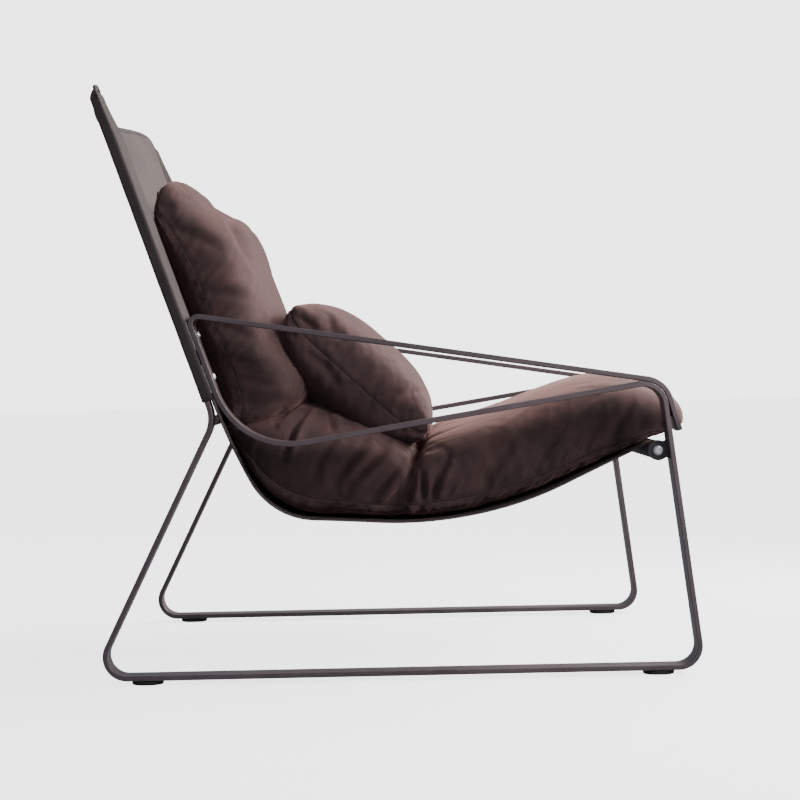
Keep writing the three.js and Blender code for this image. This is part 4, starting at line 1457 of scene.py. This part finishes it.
@dataclass
class CushionForm:
    """A two-panel cushion before it is filled.

    Attributes:
        name: Name of the piece.
        node: CAD node that it replaces.
        body: Body that carries it.
        front: Side-view curve of the front panel.
        back: Side-view curve of the back panel, meeting the front one at both ends.
        half_width: Half the width between the side seams.
        seam: Share of the thickness behind the side seam.
        drawn: Share of the width drawn in between the corners.
        folds: Folds in its leather.
        channel: Row of the front panel that is sewn down.
        pinch: Share of the width drawn in at the channel.
        corner: Share of the width by which its corners are rounded off.
        dent: Depth of the dip behind its crest, away from the near end.
        hollow_share: Share of the hollow of the sling that its back fills.
        fill: How tight it is, from 0 to 1; not used.
        blunt: How blunt its front and back panels are at the side seams, less being blunter.
        tuck: Share of the width by which its side seams are tucked in under the front panel.
        across: Cells across.
    """

    name: str
    node: str
    body: Body
    front: Array
    back: Array
    half_width: float
    seam: float
    drawn: float
    folds: tuple[Fold, ...]
    channel: int | None = None
    pinch: float = 0.0
    corner: float = 0.04
    dent: float = 0.0
    hollow_share: float = 0.0
    fill: float = 0.6
    blunt: tuple[float, float] = (0.48, 0.36)
    tuck: float = 0.0
    across: int = 60

    def panels(self, plan: Plan) -> tuple[Array, Array]:
        """Lays out both panels.

        Args:
            plan: Shared dimensions.

        Returns:
            The front and the back panel as grids of points that share their rims.
        """
        rows, angle = len(self.front), np.linspace(0, math.pi, 400)
        wide = squared(angle)
        thick = np.linalg.norm(self.front - self.back, axis=1).max() / 2
        lengths = along(np.stack([wide * self.half_width, np.sin(angle) ** self.blunt[0] * thick], axis=1))
        at = np.linspace(0, lengths[-1], self.across + 1)
        angle, wide = np.interp(at, lengths, angle), np.interp(at, lengths, wide)
        share = np.linspace(0, 1, rows)
        from_end = np.minimum(share, 1 - share)
        # The sides are drawn in between the corners, at the corners' ends and at the channel.
        pulled = self.drawn * np.sin(math.pi * share)
        pulled = pulled + self.corner * np.exp(-((from_end / 0.045) ** 2))
        behind = blurred((self.front - self.back)[:, None, :] * self.seam, 3.6)[:, 0]
        behind *= eased(0, 0.06, from_end)[:, None]
        if self.channel is not None:
            pulled = pulled + self.pinch * np.exp(-(((share * rows - self.channel) / 1.9) ** 2))
        y = self.half_width * (1 - pulled)[:, None] * wide[None, :]
        middle = self.back + behind
        made = []
        for curve, blunt in zip((self.front, self.back), self.blunt):
            full = np.abs(np.sin(angle)) ** blunt
            full[[0, -1]] = 0.0
            p = middle[:, None, :] + (curve - middle)[:, None, :] * full[None, :, None]
            if curve is self.back and self.hollow_share:
                rim = full[None, :] * np.sin(math.pi * share)[:, None] ** 0.3
                p = p - plan.back_front * (plan.hollow(p[..., 1], y) * self.hollow_share * rim)[..., None]
            free = eased(0, 0.6, full) if curve is self.front else np.zeros_like(full)
            tucked = 1 - self.tuck * (1 - free)
            made.append(np.stack([p[..., 0], y * tucked[None, :], p[..., 1]], axis=2))
        front, back = made
        back[[0, -1]], back[:, [0, -1]] = front[[0, -1]], front[:, [0, -1]]
        return front, back


@dataclass
class Upholstery:
    """Fills, folds, settles and finishes the cushions.

    Attributes:
        plan: Shared dimensions.
        shop: Maker of the pieces.
        frames: Steps of the filling.
        furthest: Furthest that the filling may move a point.
        kept: Share of the filling's movement that is kept.
        broad: Share of the broad swelling that is taken out, so that the puckers stay.
        broad_reach: How far the swelling is averaged, in cells.
        gather: Height of the gathers along the seams.
        gather_reach: Distance from a seam at which they are highest.
        channel_gather: Height of the gathers along a channel.
        channel_reach: Distance from a channel at which they are highest.
        sunk: How far the seams are drawn in.
        clearance: Space between a cushion and what it lies on.
        seam_radius: Radius of the sewn seams.
        line: Side-view line of the sling.
    """

    plan: Plan
    shop: Workshop
    frames: int = 20
    furthest: float = 0.012
    kept: float = 0.36
    broad: float = 0.8
    broad_reach: float = 4.2
    gather: float = 0.0022
    gather_reach: float = 0.010
    channel_gather: float = 0.0030
    channel_reach: float = 0.016
    sunk: float = 0.0014
    clearance: float = 0.0008
    seam_radius: float = 0.0011
    line: BentLine = field(init=False)

    def __post_init__(self) -> None:
        """Samples the line that the cushions lie on."""
        self.line = BentLine(self.plan.sling_corners, 0.01, 2.0)

    def build(self) -> None:
        """Builds the three cushions in place of the CAD forms."""
        plan = self.plan
        seat = self._cushion(self._seat_form(), [], plan.back_up)
        back = self._cushion(self._back_form(), [seat], plan.back_up)
        self._cushion(self._pillow_form(), [seat, back], np.array(PILLOW_LIFT))

    def _off_back(self, rise: float, out: float) -> Array:
        """A place in the side view, along the back from the turn of the sling and off its face."""
        plan = self.plan
        return plan.sling_turn + plan.back_up * rise + plan.back_front * (plan.leather / 2 + plan.gap + out)

    def _back_form(self) -> CushionForm:
        """The back cushion, a slab with a full crest.

        Returns:
            Its form.
        """
        bottom, height, rows = 0.0405, 0.3680, 66
        # Shares of the height, and distances off the sling, from the top of the front panel down.
        crest = [(1.015, 0.028), (1.082, 0.062), (0.995, 0.084), (0.925, 0.093)]
        chest, waist = [(0.84, 0.120), (0.74, 0.138)], [(0.56, 0.139), (0.2, 0.141)]
        levels = [*crest, *chest, *waist, (0.0, 0.154), (-0.09, 0.130), (-0.10, 0.060)]
        ahead = [self._off_back(bottom + level * height, out) for level, out in levels]
        front = spaced(np.array(ahead), rows)
        climbs = np.linspace(0.975, -0.06, rows - 2)
        leaves = 0.002 + 0.020 * eased(0.88, 1.0, climbs) ** 1.5
        behind = [self._off_back(bottom + level * height, out) for level, out in zip(climbs, leaves)]
        return CushionForm(
            "back_cushion_cover",
            "back_cushion",
            Body.CHAIR,
            front,
            np.array([front[0], *behind, front[-1]]),
            half_width=0.302,
            seam=0.3,
            drawn=0.03,
            folds=BACK_FOLDS,
            corner=0.07,
            dent=0.013,
            hollow_share=0.9,
        )

    def _seat_form(self) -> CushionForm:
        """The seat cushion, in two rolls with a sewn channel between them.

        Returns:
            Its form.
        """
        plan, rows = self.plan, 96
        crook, bar = plan.crook, plan.crossbar
        lying = self.line.points[:, 1] < crook[1] + 0.149
        under = self.line.points[lying] + self.line.normals[lying] * (plan.leather / 2 + plan.gap + 0.002)
        end, channel = bar + (0.052, 0.024), bar + (-0.372, -0.001)
        rear = [crook + (-0.016, 0.174), crook + (0.046, 0.190), crook + (0.125, 0.169)]
        lips = [channel + (-0.023, 0.032), channel, channel + (0.023, 0.032)]
        fore = [bar + (-0.240, 0.063), bar + (-0.060, 0.119), bar + (0.045, 0.095), bar + (0.066, 0.062)]
        front = spaced(np.array([under[0], *rear, *lips, *fore, end]), rows)
        return CushionForm(
            "seat_cushion_cover",
            "seat_cushion",
            Body.CHAIR,
            front,
            spaced(np.vstack([under, bar + (0.030, 0.017), end]), rows),
            half_width=0.311,
            seam=0.17,
            drawn=0.02,
            folds=SEAT_FOLDS,
            channel=int(np.argmin(np.linalg.norm(front - channel, axis=1))),
            pinch=0.035,
            fill=0.65,
            blunt=(0.44, 0.30),
            tuck=0.05,
            corner=0.08,
        )

    def _pillow_form(self) -> CushionForm:
        """The lumbar pillow, a plump lens leaning in the corner.

        Returns:
            Its form.
        """
        rows, tilt, half_height, crown, belly = 42, 42.7, 0.1515, 0.071, 0.096
        down = leaning(90 + tilt)
        middle = self.plan.crook + (0.1425, 0.2284)
        angle = np.linspace(0, math.pi, 26)
        run = squared(angle) * half_height

        def arch(height: float) -> Array:
            """Side-view curve of a panel that bulges by a height."""
            bulge = height * np.abs(np.sin(angle)) ** 0.9
            return spaced(middle + run[:, None] * down + bulge[:, None] * left_of(down), rows)

        return CushionForm(
            "lumbar_pillow_cover",
            "lumbar_pillow",
            Body.PILLOW,
            arch(crown),
            arch(-belly),
            half_width=0.250,
            seam=0.5,
            drawn=0.05,
            folds=PILLOW_FOLDS,
            corner=0.07,
            fill=0.7,
            blunt=(0.48, 0.48),
            across=54,
        )

    def _cushion(self, form: CushionForm, below: list[bpy.types.Object], lifted: Array) -> bpy.types.Object:
        """Makes one cushion.

        Args:
            form: Its form.
            below: Cushions that it lies against.
            lifted: Side-view direction in which it is clear of them.

        Returns:
            Its cover.
        """
        front, back = form.panels(self.plan)
        front, back = self._filled(form, front, back)
        front, back = self._creased(form, doubled(doubled(front)), doubled(doubled(back)))
        vertices, faces, front_ids = sewn(front, back)
        vertices = self._clear_of_sling(vertices)
        for other in below:
            vertices = self._clear_of(vertices, other, lifted)
        cover = self.shop.piece(
            form.name, vertices, faces, NUBUCK, Slot.CUSHION, body=form.body, replaces=[form.node]
        )
        self._seam(form, vertices, front_ids)
        return cover

    def _filled(self, form: CushionForm, front: Array, back: Array) -> tuple[Array, Array]:
        """Blows a cover up with Cloth, and keeps the puckers and a little of the swelling.

        Args:
            form: Form of the cushion.
            front: Its front panel.
            back: Its back panel.

        Returns:
            Both panels, no point moved further than the limit.
        """
        start, faces, ids = sewn(front, back)
        mesh = bpy.data.meshes.new("filling")
        mesh.from_pydata(start.tolist(), [], faces)
        cover = bpy.data.objects.new("filling", mesh)
        scene = bpy.context.scene
        scene.collection.objects.link(cover)
        held = np.concatenate([ids[0], ids[-1], ids[:, 0], ids[:, -1]])
        if form.channel is not None:
            held = np.concatenate([held, ids[form.channel]])
        pins = cover.vertex_groups.new(name="pins")
        pins.add(held.tolist(), 1.0, "REPLACE")
        modifier = cover.modifiers.new("fill", "CLOTH")
        settings = modifier.settings
        settings.quality = 6
        settings.mass = 0.25
        settings.tension_stiffness = settings.compression_stiffness = 18
        settings.shear_stiffness = 6
        settings.bending_stiffness = 0.1
        settings.use_pressure = True
        settings.uniform_pressure_force = 4
        settings.vertex_group_mass = pins.name
        settings.shrink_min = settings.shrink_max = -0.05
        settings.effector_weights.gravity = 0
        modifier.collision_settings.use_collision = False
        modifier.collision_settings.use_self_collision = False
        modifier.point_cache.frame_start, modifier.point_cache.frame_end = 1, self.frames
        for frame in range(1, self.frames + 1):
            scene.frame_set(frame)
        evaluated = cover.evaluated_get(bpy.context.evaluated_depsgraph_get())
        flat = np.empty(len(start) * 3)
        evaluated.data.vertices.foreach_get("co", flat)
        moved = flat.reshape(-1, 3) - start
        scene.frame_set(1)
        bpy.data.objects.remove(cover)
        bpy.data.meshes.remove(mesh)
        rows, columns = ids.shape
        on_front = moved[: rows * columns].reshape(rows, columns, 3)
        on_back = on_front.copy()
        on_back[1:-1, 1:-1] = moved[rows * columns :].reshape(rows - 2, columns - 2, 3)
        made = []
        for panel, shift in ((front, on_front), (back, on_back)):
            shift = shift - self.broad * blurred(shift, self.broad_reach)
            far = np.linalg.norm(shift, axis=2, keepdims=True)
            log.info("%s: puckers %.1f mm at most", form.name, far.max() / MM)
            limited = self.furthest * np.tanh(far / self.furthest)
            made.append(panel + self.kept * shift * (limited / np.maximum(far, 1e-9)))
        made[1][[0, -1]], made[1][:, [0, -1]] = made[0][[0, -1]], made[0][:, [0, -1]]
        return made[0], made[1]

    def _creased(self, form: CushionForm, front: Array, back: Array) -> tuple[Array, Array]:
        """Adds folds, gathers along the seams and slight unevenness.

        Args:
            form: Form of the cushion.
            front: Its front panel.
            back: Its back panel.

        Returns:
            Both panels, with their rims drawn in where they are sewn.
        """
        crook, made = self.plan.crook, []
        outwards = front - back
        normals = [facing(front, outwards), facing(back, -outwards)]
        for panel, normal in zip((front, back), normals):
            rows, columns = panel.shape[:2]
            down = np.linalg.norm(np.diff(panel, axis=0), axis=2)
            over = np.linalg.norm(np.diff(panel, axis=1), axis=2)
            run = np.concatenate([np.zeros((1, columns)), np.cumsum(down, axis=0)])
            side = np.concatenate([np.zeros((rows, 1)), np.cumsum(over, axis=1)], axis=1)
            from_ends = np.minimum(run, run[-1:] - run)
            from_sides = np.minimum(side, side[:, -1:] - side)
            rim = np.minimum(from_ends, from_sides)
            x, y, z = panel[..., 0] - crook[0], panel[..., 1], panel[..., 2] - crook[1]
            lift = 0.0018 * mottle(panel, 0.085, 3.1) + 0.0006 * mottle(panel, 0.034, 7.7)
            for fold in form.folds:
                lift += fold.lift(x, z, y, form.half_width)
            pucker = gathers(np.stack([run, y * 0.2, z * 0.1], axis=2), 1.3)
            lift += self.gather * pucker * hump(from_sides, self.gather_reach)
            pucker = gathers(np.stack([x * 0.1, y, z * 0.1], axis=2), 5.2)
            lift += self.gather * pucker * hump(from_ends, self.gather_reach)
            if panel is front and form.channel is not None:
                away = np.abs(run - run[4 * form.channel])
                lift += self.channel_gather * pucker * hump(away, self.channel_reach)
            if panel is front and form.dent:
                share = run / run[-1:]
                dip = np.exp(-(((share - 0.195) / 0.04) ** 2))
                swell = np.exp(-(((share - 0.265) / 0.05) ** 2))
                lift += form.dent * (0.5 * swell - dip) * eased(-0.14, -0.01, y)
            made.append(panel + normal * (lift * eased(0, 0.012, rim))[..., None])
        front, back = made
        inwards = normals[0] + normals[1]
        inwards /= np.maximum(np.linalg.norm(inwards, axis=2, keepdims=True), 1e-9)
        edge = np.zeros(front.shape[:2])
        edge[[0, -1]], edge[:, [0, -1]] = 1.0, 1.0
        front = front - inwards * (self.sunk * edge)[..., None]
        back[[0, -1]], back[:, [0, -1]] = front[[0, -1]], front[:, [0, -1]]
        return front, back

    def _clear_of_sling(self, vertices: Array) -> Array:
        """Pushes points off the sling's front face.

        Args:
            vertices: The points.

        Returns:
            The points, clear of the sling.
        """
        plan = self.plan
        points = self.line.points
        start, ahead = points[:-1], np.diff(points, axis=0)
        cleared = vertices.copy()
        for part in np.array_split(np.arange(len(vertices)), max(1, len(vertices) // 8000)):
            p = vertices[part][:, [0, 2]]
            share = np.einsum("nmk,mk->nm", p[:, None] - start[None], ahead) / np.sum(ahead * ahead, axis=1)
            foot = start[None] + np.clip(share, 0, 1)[..., None] * ahead[None]
            distance = np.linalg.norm(p[:, None] - foot, axis=2)
            nearest = np.argmin(distance, axis=1)
            each = np.arange(len(p))
            normal, base = self.line.normals[nearest], foot[each, nearest]
            height = np.sum((p - base) * normal, axis=1)
            least = plan.leather / 2 + self.clearance - plan.hollow(base[:, 1], vertices[part, 1])
            close = (np.abs(vertices[part, 1]) < plan.bar_inner) & (distance[each, nearest] < 0.08)
            push = np.where(close, np.clip(least - height, 0, None), 0)
            cleared[part, 0] += normal[:, 0] * push
            cleared[part, 2] += normal[:, 1] * push
        return cleared

    def _clear_of(self, vertices: Array, other: bpy.types.Object, lifted: Array) -> Array:
        """Lifts points that lie inside another piece to its surface.

        Args:
            vertices: The points.
            other: The piece below.
            lifted: Side-view direction in which they are lifted.

        Returns:
            The points, clear of the piece.
        """
        tree = BVHTree.FromObject(other, bpy.context.evaluated_depsgraph_get())
        up = Vector((lifted[0], 0, lifted[1]))
        drop = 0.3
        cleared = vertices.copy()
        for index, vertex in enumerate(vertices):
            place = Vector(vertex)
            _, normal, _, distance = tree.ray_cast(place + up * drop, -up, drop + self.clearance)
            if distance is not None and normal.dot(up) > 0:
                cleared[index] = place + up * (drop - distance + self.clearance)
        return cleared

    def _seam(self, form: CushionForm, vertices: Array, front_ids: Array) -> None:
        """Makes a sewn seam sunk in the groove where the two panels meet.

        Args:
            form: Form of the cushion.
            vertices: Points of its cover.
            front_ids: Indices of the front panel as a grid.
        """
        loop = np.concatenate([front_ids[0], front_ids[1:-1, -1], front_ids[-1, ::-1], front_ids[-2:0:-1, 0]])
        path = vertices[loop]
        ahead = np.roll(path, -1, axis=0) - np.roll(path, 1, axis=0)
        ahead /= np.linalg.norm(ahead, axis=1, keepdims=True)
        out = path - path.mean(axis=0)
        out -= ahead * np.sum(out * ahead, axis=1, keepdims=True)
        out /= np.linalg.norm(out, axis=1, keepdims=True)
        across = np.cross(ahead, out)
        angles = np.arange(8) * math.pi / 4
        rings = path[:, None] + self.seam_radius * (
            np.cos(angles)[None, :, None] * out[:, None] + np.sin(angles)[None, :, None] * across[:, None]
        )
        made, faces = lofted(rings, caps=False, loop=True)
        # The seam wears the darker nubuck: painted shade of the groove it lies in.
        self.shop.piece(f"{form.name}_seam", made, faces, SHADED_SEAM, Slot.CUSHION, body=form.body)


# Carried-over CAD nodes


@dataclass
class Hardware:
    """CAD nodes that stay, with their materials."""

    finishes: Finishes
    nodes: dict[str, bpy.types.Object]

    def dress(self) -> None:
        """Gives each CAD node that shows its finish."""
        for name, node in self.nodes.items():
            if name.startswith("glide"):
                finish = RUBBER
            elif "lug" in name or name.startswith("drop_screw"):
                finish = ENAMEL
            elif "screw" in name or "bolt" in name:
                finish = BRIGHT_STEEL
            else:
                finish = POWDER_COAT
            node.data.materials.clear()
            node.data.materials.append(self.finishes.of(finish))


# Studio


@dataclass(frozen=True)
class SoftBox:
    """A square soft light that faces the seat.

    Attributes:
        name: Its name.
        at: Its place.
        size: Length of its sides.
        power: Its power, in watts.
        shine_only: Whether it shows in highlights alone.
    """

    name: str
    at: tuple[float, float, float]
    size: float
    power: float
    shine_only: bool = False


SOFT_BOXES = (
    SoftBox("front_box", (1.5, -1.0, 1.25), 0.9, 36),
    SoftBox("rim_box", (1.2, 0.85, 1.0), 0.7, 22),
    SoftBox("back_box", (-2.4, 0.7, 1.4), 1.6, 26),
    SoftBox("card", (0.8, -2.9, 0.45), 1.0, 4, shine_only=True),
)


@dataclass
class Studio:
    """Floor, backdrop, light and camera.

    Attributes:
        plan: Shared dimensions.
        white: Brightness of the backdrop.
        key: Strength of the key light, from above the front.
        key_heading: Direction in which it shines.
        key_colour: Its colour, slightly warm.
        fill: Strength of the light from all round.
        fill_colour: Its colour, slightly cool.
        standpoint: Place of the camera, from the middle of the runners on the floor.
        focal: Focal length of the camera, in pixels of the picture.
        picture: Width of the picture, in pixels.
    """

    plan: Plan
    white: float = 3.6
    key: float = 4.0
    key_heading: tuple[float, float, float] = (-0.82, -0.36, -0.58)
    key_colour: tuple[float, float, float] = (1.0, 0.91, 0.87)
    fill: float = 0.32
    fill_colour: tuple[float, float, float, float] = (0.90, 0.96, 1.08, 1.0)
    standpoint: tuple[float, float, float] = (-0.03107, -3.12053, 0.48398)
    focal: float = 1759.23
    picture: int = 800

    def build(self) -> None:
        """Sets up the studio."""
        self._floor()
        self._backdrop()
        self._lights()
        self._camera()

    def _stage(self, name: str, mesh: bpy.types.Mesh, colour: float, glow: float) -> None:
        """Sets up a pale stage piece that throws no light back on the chair.

        Args:
            name: Name of the piece.
            mesh: Its mesh.
            colour: Brightness of its surface.
            glow: Strength of its own light.
        """
        piece = bpy.data.objects.new(name, mesh)
        bpy.context.scene.collection.objects.link(piece)
        material = bpy.data.materials.new(name)
        material.use_nodes = True
        surface = material.node_tree.nodes["Principled BSDF"]
        surface.inputs["Base Color"].default_value = (colour, colour, colour, 1)
        surface.inputs["Roughness"].default_value = 0.9
        surface.inputs["Emission Color"].default_value = (1, 1, 1, 1)
        surface.inputs["Emission Strength"].default_value = glow
        mesh.materials.append(material)
        piece.visible_diffuse = piece.visible_glossy = piece.visible_transmission = False
        piece.visible_shadow = False

    def _floor(self) -> None:
        """A wide pale floor."""
        mesh = bpy.data.meshes.new("floor")
        size = 24.0
        corners = [(-size, -size, 0), (size, -size, 0), (size, size, 0), (-size, size, 0)]
        mesh.from_pydata(corners, [], [(0, 1, 2, 3)])
        self._stage("floor", mesh, 0.6, 2.6)

    def _backdrop(self) -> None:
        """A white dome all round."""
        mesh = bpy.data.meshes.new("backdrop")
        dome = bmesh.new()
        bmesh.ops.create_uvsphere(dome, u_segments=48, v_segments=24, radius=23.0)
        dome.to_mesh(mesh)
        dome.free()
        self._stage("backdrop", mesh, 0.0, self.white)

    def _lights(self) -> None:
        """A broad key from above the front, soft boxes all round, and a weak fill."""
        data = bpy.data.lights.new("key", "SUN")
        data.energy = self.key
        data.angle = math.radians(40)
        data.color = self.key_colour
        lamp = bpy.data.objects.new("key", data)
        lamp.rotation_euler = Vector(self.key_heading).to_track_quat("-Z", "Y").to_euler()
        bpy.context.scene.collection.objects.link(lamp)
        for box in SOFT_BOXES:
            self._box(box)
        world = bpy.data.worlds.new("studio")
        world.use_nodes = True
        background = world.node_tree.nodes["Background"]
        background.inputs["Color"].default_value = self.fill_colour
        background.inputs["Strength"].default_value = self.fill
        bpy.context.scene.world = world

    @staticmethod
    def _box(box: SoftBox) -> None:
        """Sets up a soft box.

        Args:
            box: The soft box.
        """
        data = bpy.data.lights.new(box.name, "AREA")
        data.size, data.energy = box.size, box.power
        lamp = bpy.data.objects.new(box.name, data)
        lamp.location = box.at
        lamp.rotation_euler = (Vector(SEAT_MIDDLE) - Vector(box.at)).to_track_quat("-Z", "Y").to_euler()
        lamp.visible_camera = False
        lamp.visible_diffuse = not box.shine_only
        bpy.context.scene.collection.objects.link(lamp)

    def _camera(self) -> None:
        """A camera at the photograph's angle, at the height of the seat."""
        pitch, roll, yaw = -0.01609, 0.01897, 0.01209
        ahead = Vector((math.sin(yaw) * math.cos(pitch), math.cos(yaw) * math.cos(pitch), math.sin(pitch)))
        level = Vector((math.cos(yaw), -math.sin(yaw), 0))
        above = level.cross(ahead)
        right = level * math.cos(roll) - above * math.sin(roll)
        up = level * math.sin(roll) + above * math.cos(roll)
        turn = Matrix((right, up, -ahead)).transposed().to_4x4()
        data = bpy.data.cameras.new("camera")
        data.sensor_width = 36
        data.lens = self.focal / self.picture * data.sensor_width
        camera = bpy.data.objects.new("camera", data)
        ahead_of_middle, across, height = self.standpoint
        camera.matrix_world = Matrix.Translation((self.plan.shift + ahead_of_middle, across, height)) @ turn
        bpy.context.scene.collection.objects.link(camera)
        bpy.context.scene.camera = camera


def main() -> None:
    """Builds the chair and its studio."""
    logging.basicConfig(level=logging.INFO, format="%(name)s: %(message)s")
    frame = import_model()
    low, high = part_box("side_frame_right")
    plan = Plan(shift=(low[0] + high[0]) / 2)
    finishes = Finishes()
    shop = Workshop(finishes)
    Hardware(finishes, frame["nodes"]).dress()
    for assembly in (SideFrames, Crossbars, Sling, Upholstery):
        assembly(plan, shop).build()
    Studio(plan).build()
    for piece in shop.made:
        log.info("%s: %d faces", piece.name, len(piece.data.polygons))


if __name__ == "__main__":
    main()
